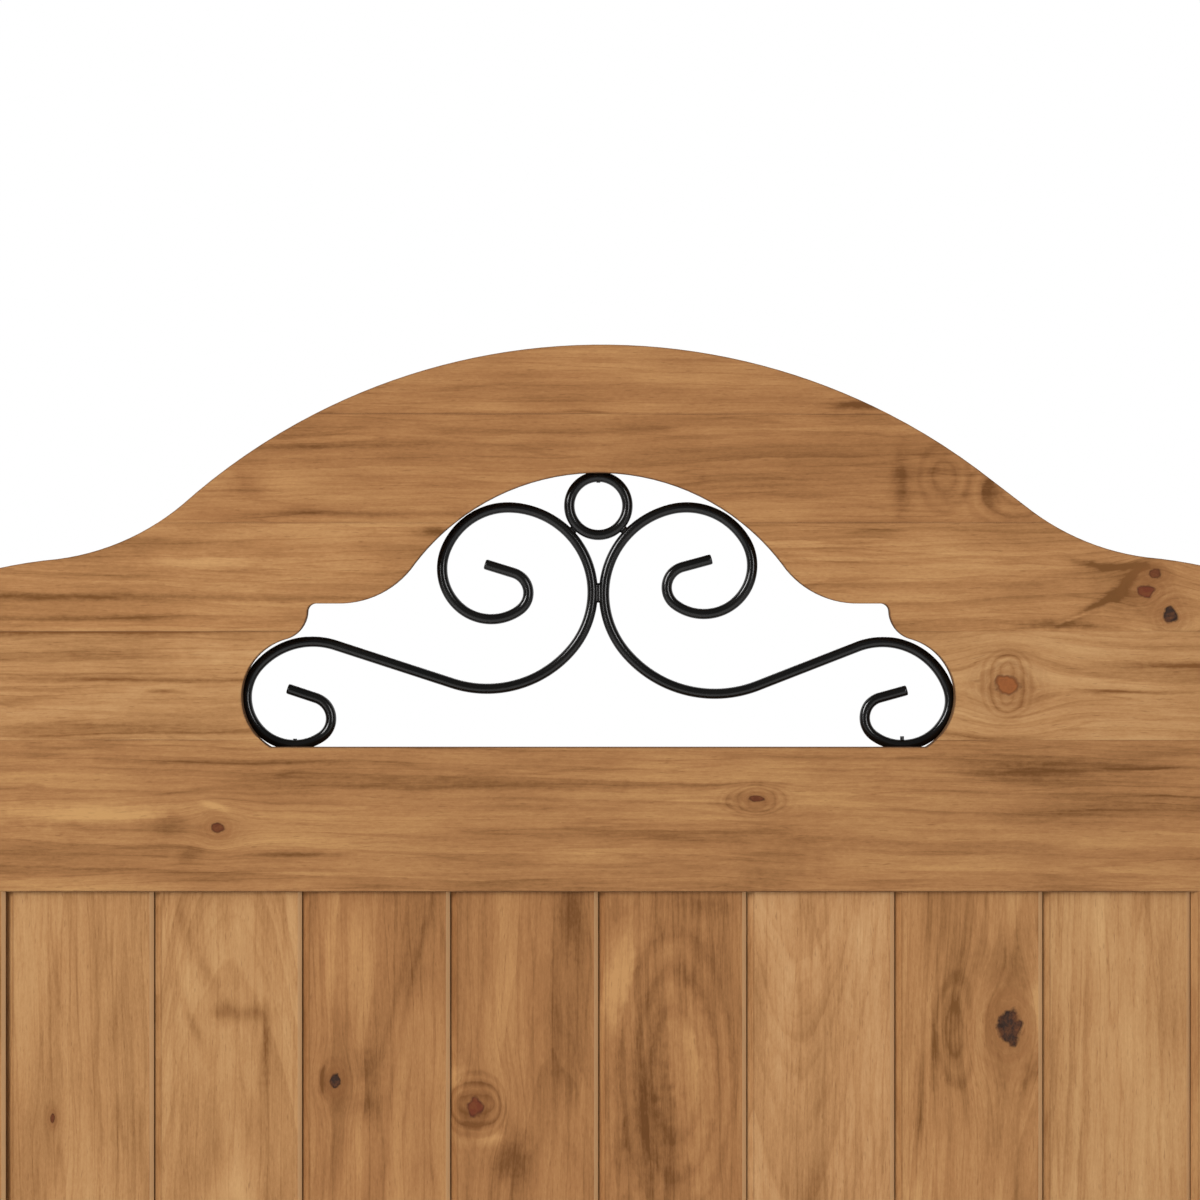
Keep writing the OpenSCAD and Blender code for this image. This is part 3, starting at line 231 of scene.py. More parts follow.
    # fibres, flecks, resin dashes and the uneven take of the stain
    fibre = stretched(bent, 11, 0.8)
    speck = stretched(gab, 3.2, 1.2, detail=3.0, rough=0.7)
    streak = stretched(bent, 110, 3.4, detail=4.0, rough=0.65)
    cloud = stretched(bent, 75, 17, detail=4.0, rough=0.6)
    zone = stretched(gab, 210, 36, detail=2.0)
    dash = add(t, "ValToRGB", {0: stretched(bent, 8, 1.0, detail=1.0)},
               stops=[(0.66, 0.0), (0.76, 1.0)])
    hue = t.nodes.new("ShaderNodeSeparateColor")
    t.links.new(stretched(gab, 120, 40, detail=3.0, out=1), hue.inputs[0])
    patch, redden, fade = hue.outputs
    # a grain line is drawn where a long thin noise crosses its middle
    level = add(t, "Math", {0: stretched(bent, 240, 9, detail=2.0, rough=0.45), 1: 0.5},
                operation="SUBTRACT")
    level = add(t, "Math", {0: level}, operation="ABSOLUTE")
    line = add(t, "ValToRGB", {0: level}, stops=[(0.0, 1.0), (0.012, 0.75), (0.035, 0.0)])

    # rings come and go along the plank
    shown = add(t, "Math", {0: fade, 1: 2.4, 2: -0.6}, operation="MULTIPLY_ADD", use_clamp=True)
    strong = add(t, "Math", {0: late, 1: ring_noise(phase, 0.47, 9.0, 2.0)}, operation="MULTIPLY")
    strong = add(t, "Math", {0: strong, 1: shown}, operation="MULTIPLY")
    dark = add(t, "Math", {0: strong, 1: 0.42 * contrast, 2: 0.36}, operation="MULTIPLY_ADD")
    thin = add(t, "Math", {0: fine, 1: patch}, operation="MULTIPLY")
    dark = add(t, "Math", {0: thin, 1: 0.14, 2: dark}, operation="MULTIPLY_ADD")
    thin = add(t, "Math", {0: line, 1: redden}, operation="MULTIPLY")
    dark = add(t, "Math", {0: thin, 1: 0.30, 2: dark}, operation="MULTIPLY_ADD")
    # every noise adds its share about its own middle, so the plank's mean tone stays
    for source, share in ((ring_noise(phase, 0.9, 4.0, 4.0, 0.7), 0.34 * contrast),
                          (fibre, 0.28), (speck, 0.40), (streak, 0.36), (cloud, 0.62),
                          (zone, 0.75), (patch, 0.35)):
        dark = add(t, "Math", {0: dark, 1: share / 2}, operation="SUBTRACT")
        dark = add(t, "Math", {0: source, 1: share, 2: dark}, operation="MULTIPLY_ADD")
    for g0, a0, length_g, length_a, depth, *lean in smudges:
        v = oval(bent, g0, a0, length_g, length_a, *lean)
        v = add(t, "VectorMath", {0: v, 1: ragged}, operation="ADD")
        q = add(t, "VectorMath", {0: v, 1: v}, out=1, operation="DOT_PRODUCT")
        q = add(t, "Math", {0: q, 1: -1.0}, operation="MULTIPLY")
        near = add(t, "Math", {0: q}, operation="EXPONENT")
        dark = add(t, "Math", {0: near, 1: depth, 2: dark}, operation="MULTIPLY_ADD")
    for g0, a0, length_g, length_a, count, depth in swirls:
        v = oval(bent, g0, a0, length_g, length_a)
        v = add(t, "VectorMath", {0: ragged, 1: (0.12, 0.12, 0.0), 2: v}, operation="MULTIPLY_ADD")
        length = add(t, "VectorMath", {0: v}, out=1, operation="LENGTH")
        turns = add(t, "Math", {0: length, 1: count}, operation="MULTIPLY")
        turns = add(t, "Math", {0: turns}, operation="FRACT")
        turns = add(t, "ValToRGB", {0: turns},
                    stops=[(0.0, 0.35), (0.3, 0.0), (0.78, 1.0), (0.95, 0.35)])
        faint = add(t, "ValToRGB", {0: length},
                    stops=[(0.1, 0.5), (0.5, 1.0), (0.8, 0.8), (1.0, 0.0)])
        turns = add(t, "Math", {0: turns, 1: faint}, operation="MULTIPLY")
        dark = add(t, "Math", {0: turns, 1: depth, 2: dark}, operation="MULTIPLY_ADD")
    light, mid, deep = tone
    colour = add(t, "ValToRGB", {0: dark}, stops=[(0.0, light), (0.45, mid), (1.0, deep)])
    reddish = add(t, "Math", {0: redden, 1: 0.33, 2: -0.11}, operation="MULTIPLY_ADD",
                  use_clamp=True)
    colour = add(t, "Mix", {0: reddish, 6: colour, 7: linear(REDDISH)}, out=2, data_type="RGBA")
    resin = add(t, "Math", {0: dash, 1: 0.35}, operation="MULTIPLY")
    colour = add(t, "Mix", {0: resin, 6: colour, 7: linear(RESIN)}, out=2, data_type="RGBA")

    # knots: a dark heart in a browner rim, pale and dark rings round it, and a stained halo
    for length, (heart, rim) in hearts:
        at = add(t, "Math", {0: length, 1: 2.6}, operation="MULTIPLY")
        rings = add(t, "TexNoise", {"W": at, "Scale": 1.0, "Detail": 2.0}, noise_dimensions="1D")
        rings = add(t, "Math", {0: rings, 1: 1.9, 2: -0.4}, operation="MULTIPLY_ADD",
                    use_clamp=True)
        at = add(t, "Math", {0: length, 1: 0.25}, operation="MULTIPLY")
        halo = add(t, "ValToRGB", {0: at}, stops=[(0.2, 0.9), (0.45, 0.5), (0.85, 0.0)])
        halo = add(t, "Math", {0: halo, 1: rings}, operation="MULTIPLY")
        colour = add(t, "Mix", {0: halo, 6: colour, 7: linear(HALO)}, out=2, data_type="RGBA")
        body = add(t, "ValToRGB", {0: length},
                   stops=[(0.0, heart), (0.6, heart), (0.85, rim), (1.2, rim)])
        burr = stretched(gab, 5, 4, detail=3.0, rough=0.7)
        burr = add(t, "ValToRGB", {0: burr}, stops=[(0.42, 0.0), (0.7, 0.6)])
        body = add(t, "Mix", {0: burr, 6: body, 7: linear(BURR)}, out=2, data_type="RGBA")
        mask = add(t, "ValToRGB", {0: length}, stops=[(0.75, 1.0), (1.08, 0.0)])
        colour = add(t, "Mix", {0: mask, 6: colour, 7: body}, out=2, data_type="RGBA")

    # the V joints are painted darker, partly the stain and dust they hold and partly painted shade
    # of the V: a broken dark line beside the joint, a browner bevel on its right and a second fine
    # line where that bevel ends
    if grain == "z":
        joint_noise = add(t, "TexNoise", {"Vector": gab, "Scale": 0.55, "Detail": 4.0, "Roughness": 0.65})
        wide = add(t, "TexNoise", {"Vector": gab, "Scale": 0.06, "Detail": 2.0})
        from_joint = add(t, "Math", {0: x, 1: 1 / BOARD_W, 2: 0.5 - PANEL_X0 / BOARD_W},
                         operation="MULTIPLY_ADD")
        from_joint = add(t, "Math", {0: from_joint}, operation="FRACT")
        from_joint = add(t, "Math", {0: from_joint, 1: BOARD_W, 2: -BOARD_W / 2},
                         operation="MULTIPLY_ADD")
        for middle, half, ragged_mm, depth in JOINT_STRIPS:
            away = add(t, "Math", {0: from_joint, 1: middle}, operation="SUBTRACT")
            away = add(t, "Math", {0: away}, operation="ABSOLUTE")
            reach = add(t, "Math", {0: joint_noise, 1: ragged_mm, 2: half - ragged_mm / 2},
                        operation="MULTIPLY_ADD")
            away = add(t, "Math", {0: away, 1: reach}, operation="DIVIDE")
            dust_and_shade = add(t, "ValToRGB", {0: away}, stops=[(0.35, depth), (1.1, 0.0)])
            dust_and_shade = add(t, "Math", {0: dust_and_shade, 1: wide}, operation="MULTIPLY")
            dust_and_shade = add(t, "Math", {0: dust_and_shade, 1: JOINT_STRENGTH}, operation="MULTIPLY",
                        use_clamp=True)
            colour = add(t, "Mix", {0: dust_and_shade, 6: colour, 7: linear(JOINT_DUST_AND_SHADE)},
                         out=2, data_type="RGBA")
        # painted shadow: the boards darken over their last 9 mm below the head rail, where its step
        # shades them
        under = add(t, "MapRange", {0: z, 1: RAIL_Z - 9.0, 2: RAIL_Z - 0.4, 3: 0.0, 4: 0.15})
        colour = add(t, "Mix", {0: under, 6: colour, 7: linear(RAIL_SHADE)},
                     out=2, data_type="RGBA")
    # painted light: the bevels that face right are painted paler; faces seen edge-on take more
    # stain, partly painted shade, and no polish
    facing = t.nodes.new("ShaderNodeSeparateXYZ")
    t.links.new(add(t, "TexCoord", out="Normal"), facing.inputs[0])
    flat = add(t, "Math", {0: facing.outputs[1]}, operation="ABSOLUTE")
    cut = add(t, "ValToRGB", {0: flat}, stops=[(0.25, 1.0), (0.6, 0.0)])
    if grain == "z":
        # painted light: the bevels that face right, which the key lamp leaves in shade, are painted
        # paler
        bevel = add(t, "ValToRGB", {0: facing.outputs[0]},
                    stops=[(0.2, 0.0), (0.4, 0.7), (0.85, 0.7), (0.95, 0.0)])
        colour = add(t, "Mix", {0: bevel, 6: colour, 7: linear(PAINTED_BEVEL_LIGHT)},
                     out=2, data_type="RGBA")
    # painted shade, partly stain: faces seen edge-on, such as the cut-out's inner faces, are
    # darkened
    edge = add(t, "Math", {0: cut, 1: SAWN_SHADE_RAIL if on_rail else SAWN_SHADE_PLANK},
               operation="MULTIPLY")
    colour = add(t, "Mix", {0: edge, 6: colour, 7: linear(SAWN_STAIN_AND_SHADE)}, out=2, data_type="RGBA")

    # painted shade: the routed outline's eased edge, where the Bevel normal turns from the face, is
    # painted darker, as a rounded arris in shade; at the glue lines, where two staves meet flush,
    # only a patch of it here and there shows
    if on_rail:
        eased = add(t, "Bevel", {"Radius": EASED_MM * MM}, samples=6)
        straight = add(t, "NewGeometry", out="Normal")
        turned = add(t, "VectorMath", {0: eased, 1: straight}, out=1, operation="DOT_PRODUCT")
        arris_shade = add(t, "ValToRGB", {0: turned}, stops=[(0.85, 0.85), (0.99, 0.0)])
        height = add(t, "Math", {0: z, 1: 1 / STAVE_H, 2: 0.5 - GLUE_Z / STAVE_H},
                     operation="MULTIPLY_ADD")
        height = add(t, "Math", {0: height}, operation="FRACT")
        height = add(t, "Math", {0: height, 1: 0.5}, operation="SUBTRACT")
        height = add(t, "Math", {0: height}, operation="ABSOLUTE")
        clear = add(t, "ValToRGB", {0: height}, stops=[(0.02, 0.12), (0.045, 1.0)])
        glued = add(t, "ValToRGB", {0: patch}, stops=[(0.45, 0.0), (0.62, 0.8)])
        clear = add(t, "Math", {0: clear, 1: glued}, operation="MAXIMUM")
        arris_shade = add(t, "Math", {0: arris_shade, 1: clear}, operation="MULTIPLY")
        colour = add(t, "Mix", {0: arris_shade, 6: colour, 7: linear(EASED_EDGE_SHADE)}, out=2, data_type="RGBA")

    rough = add(t, "Math", {0: fibre, 1: 0.16, 2: 0.46}, operation="MULTIPLY_ADD")
    rough = add(t, "Math", {0: cut, 1: 0.5, 2: rough}, operation="MULTIPLY_ADD")
    relief = add(t, "Math", {0: fibre, 1: speck}, operation="ADD")
    relief = add(t, "Math", {0: late, 1: -0.5, 2: relief}, operation="MULTIPLY_ADD")
    bump = add(t, "Bump", {"Strength": 0.3, "Distance": 0.00012, "Height": relief})
    finish_surface(t, colour, rough, bump, Specular_IOR_Level=0.1)
    PLANKS[name] = material


HONEY = ("#c59864", "#a8784b", "#6e4722")
TAWNY = ("#bf925d", "#a17247", "#68421f")
WARM = ("#bd8e5b", "#a07045", "#68411f")
PALE = ("#c89e6c", "#ae8052", "#774c26")
FAIR = ("#cda373", "#b38456", "#7b5029")
RED_KNOT = ("#6e3722", "#46251a")
ORANGE_KNOT = ("#96592f", "#5c371f")
BLACK_KNOT = ("#3a2a22", "#241a16")
SMALL_KNOT = ("#63351f", "#3f2214")

# Each plank: grain, tone, pith (a, b, g), then knots (g, a, half lengths, colours), smudges
# (g, a, half lengths, depth, lean in degrees) and swirls (g, a, half lengths, rings, depth).
pine("head_stave_1", "x", TAWNY, (1290.0, 40.0, 480.0), ring=9.0, tilt=0.02, seed=1.0,
     knots=[(263.3, 1369.2, 4.6, 3.6, SMALL_KNOT), (590.0, 1386.6, 5.0, 2.4, SMALL_KNOT)],
     smudges=[(826.5, 1405.4, 22, 0.8, 0.7), (234.0, 1371.0, 12, 8, 0.35),
              (178.0, 1377.0, 52, 6, -0.45), (246.0, 1352.0, 10, 5, 0.3, 40),
              (310.0, 1352.0, 30, 1.6, 0.45), (262.0, 1378.0, 9, 2.5, -0.5, -30),
              (460.0, 1394.0, 140, 3, 0.3), (840.0, 1379.0, 120, 5, 0.25),
              (590.0, 1384.0, 26, 9, 0.2), (606.0, 1350.0, 34, 20, 0.3, 20),
              (755.0, 1404.0, 34, 5, 0.35), (270.0, 1408.0, 80, 2, 0.3)],
     swirls=[(590.0, 1385.0, 26, 10, 4, 0.3)])
pine("head_stave_2_left", "x", PALE, (1560.0, 60.0, 200.0), ring=10.0, tilt=0.015, seed=2.0,
     smudges=[(190.0, 1487.0, 110, 1.8, 0.45), (210.0, 1459.0, 120, 1.6, 0.4),
              (280.0, 1475.0, 60, 4, -0.35), (170.0, 1430.0, 60, 5, 0.25),
              (230.0, 1452.0, 9, 1.2, 0.6)])
pine("head_stave_2_right", "x", PALE, (1540.0, 55.0, 800.0), ring=10.0, tilt=-0.02, seed=3.0,
     knots=[(742.2, 1456.3, 8.6, 7.4, ORANGE_KNOT)],
     swirls=[(742.2, 1456.3, 17, 13, 3, 0.5)],
     smudges=[(755.0, 1490.0, 60, 2.2, 0.35), (810.0, 1452.0, 30, 1.2, 0.6),
              (850.0, 1468.0, 40, 2, 0.35), (720.0, 1427.0, 40, 2, 0.3)])
pine("head_stave_3_left", "x", HONEY, (1460.0, 30.0, 200.0), ring=9.0, tilt=0.02, seed=4.0,
     smudges=[(394.9, 1548.0, 10, 3, 0.5), (200.0, 1509.0, 130, 2, 0.45),
              (190.0, 1496.0, 90, 2, 0.4), (250.0, 1530.0, 70, 5, -0.3)])
pine("head_stave_3_right", "x", HONEY, (1450.0, 30.0, 700.0), ring=8.0, tilt=-0.03, seed=5.0,
     knots=[(832.0, 1523.7, 4.4, 3.2, SMALL_KNOT), (826.5, 1512.8, 6.0, 4.4, RED_KNOT),
            (841.1, 1497.6, 5.0, 5.8, BLACK_KNOT)],
     smudges=[(772.0, 1492.0, 26, 3, 0.6), (804.0, 1526.0, 22, 2.2, 0.75, -14),
              (803.0, 1508.0, 26, 2.4, 0.75, 30), (786.0, 1498.0, 18, 1.2, -0.5, 24),
              (812.0, 1514.0, 20, 12, 0.3), (745.0, 1514.0, 40, 5, 0.2)])
pine("head_stave_4", "x", WARM, (1660.0, 60.0, 500.0), ring=9.0, tilt=0.01, seed=6.0,
     swirls=[(748.0, 1572.0, 34, 24, 3, 0.4), (704.0, 1582.0, 18, 24, 2, 0.25)],
     smudges=[(282.0, 1577.7, 12, 8, 0.35), (733.0, 1574.0, 5, 9, 0.6),
              (678.0, 1578.0, 5, 18, 0.4), (743.0, 1584.0, 10, 7, -0.4),
              (330.0, 1560.0, 60, 2, 0.4), (300.0, 1600.0, 70, 2, 0.35)])
pine("head_stave_5", "x", WARM, (1580.0, 40.0, 500.0), ring=8.0, tilt=0.01, seed=7.0,
     smudges=[(653.0, 1624.0, 18, 2.5, 0.8)])
pine("hinge_stile", "z", HONEY, (60.0, 50.0, 900.0), ring=8.0, tilt=0.02, seed=8.0,
     knots=[(420.0, 84.0, 9.0, 7.0, RED_KNOT), (1010.0, 70.0, 5.0, 4.0, SMALL_KNOT)])
pine("latch_stile", "z", HONEY, (960.0, 50.0, 900.0), ring=8.0, tilt=0.02, seed=9.0,
     knots=[(300.0, 910.0, 8.0, 6.0, RED_KNOT), (1180.0, 925.0, 5.0, 4.0, SMALL_KNOT)])
pine("board_1", "z", PALE, (120.0, 50.0, 1200.0), ring=10.0, tilt=0.02, seed=11.0, contrast=0.8,
     knots=[(1192.3, 162.5, 3.0, 1.6, SMALL_KNOT), (610.0, 190.0, 11.0, 8.0, RED_KNOT)])
pine("board_2", "z", PALE, (271.0, 14.0, 1250.0), ring=8.0, tilt=0.12, seed=12.0,
     knots=[(360.0, 250.0, 9.0, 7.0, RED_KNOT)],
     smudges=[(1258.0, 266.0, 7, 7, 0.35), (1256.0, 281.0, 5, 14, 0.3),
              (1248.0, 248.0, 18, 3, 0.3, -20), (1236.0, 291.0, 24, 2, 0.4),
              (1310.0, 243.0, 22, 4, 0.22, -22), (1280.0, 256.0, 16, 4, 0.22, -28)])
pine("board_3", "z", WARM, (390.0, 40.0, 1200.0), ring=9.0, tilt=0.03, seed=13.0,
     knots=[(1214.8, 334.3, 5.0, 3.6, BLACK_KNOT), (760.0, 370.0, 8.0, 6.0, RED_KNOT)],
     smudges=[(1222.0, 352.0, 12, 9, 0.4), (1216.0, 329.0, 8, 1.2, 0.9),
              (1290.0, 384.0, 40, 2.4, 0.26, 14), (1270.0, 372.0, 40, 2.4, 0.2, 16),
              (1200.0, 352.0, 8, 12, 0.3), (1300.0, 345.0, 40, 14, -0.25)])
pine("board_4", "z", WARM, (470.0, 40.0, 1200.0), ring=9.0, tilt=0.03, seed=14.0,
     knots=[(1199.6, 419.3, 7.5, 5.4, RED_KNOT), (180.0, 460.0, 10.0, 8.0, BLACK_KNOT)],
     swirls=[(1201.0, 419.5, 22, 14, 3, 0.5)],
     smudges=[(1168.0, 440.0, 16, 14, 0.45), (1215.0, 410.0, 8, 8, -0.5),
              (1320.0, 478.0, 24, 8, 0.35), (1180.0, 424.0, 5, 10, -0.45),
              (1260.0, 470.0, 50, 4, 0.25)])
pine("board_5", "z", WARM, (420.0, 60.0, 1300.0), ring=9.0, tilt=0.03, seed=15.0, contrast=0.6,
     swirls=[(1219.0, 541.5, 116, 45, 5, 0.22)],
     knots=[(880.0, 520.0, 8.0, 6.0, RED_KNOT)],
     smudges=[(1192.0, 520.0, 46, 18, 0.36), (1232.0, 548.0, 30, 14, -0.3),
              (1275.0, 506.0, 26, 9, -0.5, 14), (1180.0, 556.0, 60, 9, -0.25),
              (1322.0, 560.0, 8, 20, 0.3), (1318.0, 508.0, 12, 8, 0.3)])
pine("board_6", "z", FAIR, (613.5, 16.0, 1260.0), ring=9.0, tilt=-0.10, seed=16.0, contrast=0.7,
     knots=[(520.0, 650.0, 9.0, 7.0, RED_KNOT)])
pine("board_7", "z", HONEY, (770.0, 30.0, 1240.0), ring=8.0, tilt=0.05, seed=17.0,
     knots=[(1248.5, 744.0, 12.0, 8.0, BLACK_KNOT), (690.0, 700.0, 6.0, 5.0, SMALL_KNOT)],
     swirls=[(1246.0, 716.0, 40, 18, 2, 0.35)],
     smudges=[(1222.0, 751.9, 14, 4, 0.4), (1288.0, 738.0, 18, 14, 0.3),
              (1232.0, 700.0, 26, 3, 0.4), (1262.0, 752.0, 10, 3, -0.5),
              (1200.0, 690.0, 30, 2.5, 0.35)])
pine("board_8", "z", PALE, (880.0, 60.0, 1200.0), ring=9.0, tilt=0.02, seed=18.0, contrast=0.8,
     knots=[(900.0, 800.0, 9.0, 7.0, RED_KNOT)])
pine("middle_ledge", "x", HONEY, (700.0, 40.0, 500.0), ring=8.0, tilt=0.02, seed=21.0,
     knots=[(330.0, 800.0, 9.0, 7.0, RED_KNOT)])
pine("bottom_ledge", "x", HONEY, (-60.0, 40.0, 500.0), ring=8.0, tilt=0.02, seed=22.0,
     knots=[(620.0, 50.0, 9.0, 7.0, RED_KNOT)])
# the braces' grain follows the line from corner to corner of the space each one fills
for name, seed in (("upper_brace", 23.0), ("lower_brace", 24.0)):
    low, high = (np.array(corner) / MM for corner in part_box(name))
    lie = math.atan2(high[2] - low[2], high[0] - low[0])
    middle = (low + high) / 2
    across = middle[2] * math.cos(lie) - middle[0] * math.sin(lie)
    pine(name, "x", HONEY, (across + 70.0, 40.0, 500.0), ring=8.0, tilt=0.02, lie=lie, seed=seed)
for plank, finish in PLANKS.items():
    wear(nodes[plank], finish)

# Oak pegs, turned and driven, cut flush and stained with the rest: end grain, a shade darker.
# Its pores are a third of a millimetre wide, and are drawn at 1.1 mm so that they show.
oak_peg, t = new_material("stained_oak_peg")
spots = add(t, "TexNoise", {"Vector": add(t, "TexCoord", out="Object"), "Scale": 900.0,
                            "Detail": 2.0})
finish_surface(t, add(t, "ValToRGB", {0: spots}, stops=[(0.3, "#6b4426"), (0.7, "#8c5e38")]), 0.5)


# ------------------------------------------------------------------ ironwork
def black_paint(name, roughness, orange_peel_mm, depth_mm):
    """Satin black paint on mild steel: sprayed, so a faint orange peel breaks up its gloss.
    Real orange peel is 1 to 2 mm across, and is drawn coarser so that it shows."""
    material, t = new_material(name)
    place = add(t, "TexCoord", out="Object")
    peel = add(t, "TexNoise", {"Vector": place, "Scale": 1000.0 / orange_peel_mm, "Detail": 2.0})
    worn = add(t, "TexNoise", {"Vector": place, "Scale": 40.0, "Detail": 4.0})
    colour = add(t, "ValToRGB", {0: worn}, stops=[(0.35, "#0b0a09"), (0.75, "#141210")])
    rough = add(t, "Math", {0: worn, 1: 0.12, 2: roughness - 0.06}, operation="MULTIPLY_ADD")
    bump = add(t, "Bump", {"Strength": 0.3, "Distance": depth_mm * MM, "Height": peel})
    finish_surface(t, colour, rough, bump)
    return material


scroll_paint = black_paint("satin_black_paint_on_bar", 0.18, 7.0, 0.006)
iron_paint = black_paint("satin_black_paint_on_forged_iron", 0.46, 5.0, 0.12)

# Bright steel wood screws, turned. Their turning marks are a tenth of a millimetre apart, and
# are drawn at 0.7 mm so that they show.
screw_steel, t = new_material("turned_steel_screw")
marks = add(t, "TexNoise", {"Vector": add(t, "TexCoord", out="Object"), "Scale": 1500.0,
                            "Detail": 1.0})
finish_surface(t, add(t, "ValToRGB", {0: marks}, stops=[(0.3, "#77736d"), (0.7, "#95918a")]),
               0.42, Metallic=1.0)

SCROLL_NODES = ("left_scroll", "right_scroll", "crest_ring", "scroll_welds", "scroll_pins")
for name, piece in nodes.items():
    if name in PLANKS:
        continue
    if name == "joint_pegs":
        wear(piece, oak_peg)
    elif name in ("head_screws", "ledge_screws", "brace_screws"):
        wear(piece, screw_steel)
    elif name in SCROLL_NODES:
        wear(piece, scroll_paint)
    else:
        wear(piece, iron_paint)


# ------------------------------------------------------------------ scrolls and ring, as smooth bar
def make_piece(name, points, faces, material, body, node):
    """A smooth mesh from points in millimetres, riding on its body in place of a node."""
    mesh = bpy.data.meshes.new(name)
    mesh.from_pydata((np.asarray(points) * MM).tolist(), [], [list(map(int, f)) for f in faces])
    mesh.update()
    mesh.polygons.foreach_set("use_smooth", np.ones(len(mesh.polygons), bool))
    piece = bpy.data.objects.new(name, mesh)
    bpy.context.scene.collection.objects.link(piece)
    mesh.materials.append(material)
    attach(piece, body)
    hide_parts(node)


def path_of(start, steps, pitch=0.7):
    """Points and headings along straights [length, 0] and arcs [radius, turn], pitch mm apart.
    On an arc the heading grows by the length run over the radius, and the point turns about
    the arc's centre."""
    x, z, heading = start
    places, headings = [], []
    for size, turn in steps:
        length = size if turn == 0 else size * abs(math.radians(turn))
        s = np.linspace(0, length, max(int(length / pitch), 2), endpoint=False)
        h0 = math.radians(heading)
        if turn == 0:
            h = np.full(len(s), h0)
            along_x, along_z = x + s * math.cos(h0), z + s * math.sin(h0)
            x, z = x + length * math.cos(h0), z + length * math.sin(h0)
        else:
            side = math.copysign(1, turn)
            h = h0 + side * s / size
            r = side * size
            along_x = x + r * (np.sin(h) - math.sin(h0))
            along_z = z - r * (np.cos(h) - math.cos(h0))
            end = h0 + math.radians(turn)
            x, z = x + r * (math.sin(end) - math.sin(h0)), z - r * (math.cos(end) - math.cos(h0))
            heading += turn
        places.append(np.column_stack([along_x, along_z]))
        headings.append(h)
    places.append([[x, z]])
    headings.append([math.radians(heading)])
    return np.vstack(places), np.concatenate(headings)


def bar_along(places, headings, radius, y, around=28, ease=1.1, closed=False):
    """A round bar: each ring's points stand at the radius from its centre, by the cosine of
    their angle along the path's normal and by the sine along Y. At the ends the radius eases to
    a flat face over a quarter circle of ease mm."""
    normal = np.column_stack([-np.sin(headings), np.zeros(len(headings)), np.cos(headings)])
    centre = np.column_stack([places[:, 0], np.full(len(places), y), places[:, 1]])
    r = np.full(len(places), radius)
    if not closed:
        ahead = np.column_stack([np.cos(headings), np.zeros(len(headings)), np.sin(headings)])
        steps = 4
        q = np.linspace(0, math.pi / 2, steps + 1)[:-1]
        ends_r = radius - ease + ease * np.sin(q)
        first = centre[:1] + ahead[:1] * (ease * (1 - np.cos(q)))[:, None]
        last = centre[-1:] - ahead[-1:] * (ease * (1 - np.cos(q)))[::-1][:, None]
        keep = slice(2, -2)
        centre = np.vstack([first, centre[keep], last])
        normal = np.vstack([np.repeat(normal[:1], steps, 0), normal[keep],
                            np.repeat(normal[-1:], steps, 0)])
        r = np.concatenate([ends_r, r[keep], ends_r[::-1]])
    a = np.linspace(0, 2 * math.pi, around, endpoint=False)
    sideways = np.array([0.0, 1.0, 0.0])
    ring = np.cos(a)[None, :, None] * normal[:, None, :] + np.sin(a)[None, :, None] * sideways
    points = (centre[:, None, :] + r[:, None, None] * ring).reshape(-1, 3)
    n = len(centre)
    i, j = np.meshgrid(np.arange(n if closed else n - 1), np.arange(around), indexing="ij")
    i2, j2 = (i + 1) % n, (j + 1) % around
    corners = [i * around + j, i * around + j2, i2 * around + j2, i2 * around + j]
    faces = np.stack(corners, -1).reshape(-1, 4).tolist()
    if not closed:
        points = np.vstack([points, centre[:1], centre[-1:]])
        first, last = len(points) - 2, len(points) - 1
        ring0 = np.arange(around)
        next0 = (ring0 + 1) % around
        faces += np.column_stack([np.full(around, first), next0, ring0]).tolist()
        base = (n - 1) * around
        faces += np.column_stack([np.full(around, last), base + ring0, base + next0]).tolist()
    return points, faces


BAR_D = 6.5                     # the round bar
WELD_GAP = 0.5                  # between the two scrolls at their weld
LOBE_GAP = 1.2                  # between a scroll and the lobe beside it
MOTIF_W = 433.5                 # width of the cut-out
REBATE = 2.5                    # how much wider the rebate is than the cut-out
SEAT = 0.3                      # gap under the lower curls
WELD_X = (BAR_D + WELD_GAP) / 2
# How each bar is bent, from the weld outwards: radius and turn in degrees, or a straight and 0
LEFT_UP = [[51.8, 89.1], [41.2, 68.9], [31.3, 69.6], [29.5, 78.8], [12.8, 126.4], [18.5, 0]]
LEFT_DOWN = [[54.5, -41.2], [68, -66.8], [75.4, 0], [44.6, 66.8], [28.4, 48.6], [29.4, 116.5],
             [13.3, 71.8], [13.4, 56], [18.5, 0]]
RIGHT_UP = [[52.9, 75.1], [42, 72.9], [29.5, 97], [29.4, 60.8], [13, 129], [18.5, 0]]
RIGHT_DOWN = [[55.4, -40.8], [71.3, -70.5], [65.3, 0], [42.3, 91.4], [23.3, 47.2], [29.8, 97.6],
              [13.6, 80.3], [12, 49.3], [17.5, 0]]


def scroll_place(down):
    """The scroll's scale and its weld's height, so that it spans the lobe and sits on the sill."""
    places, _ = path_of((0.0, 0.0, -90.0), down, 0.2)
    k = (MOTIF_W / 2 + REBATE - LOBE_GAP - BAR_D / 2 - WELD_X) / -places[:, 0].min()
    return k, SILL_Z - REBATE + SEAT + BAR_D / 2 - k * places[:, 1].min()


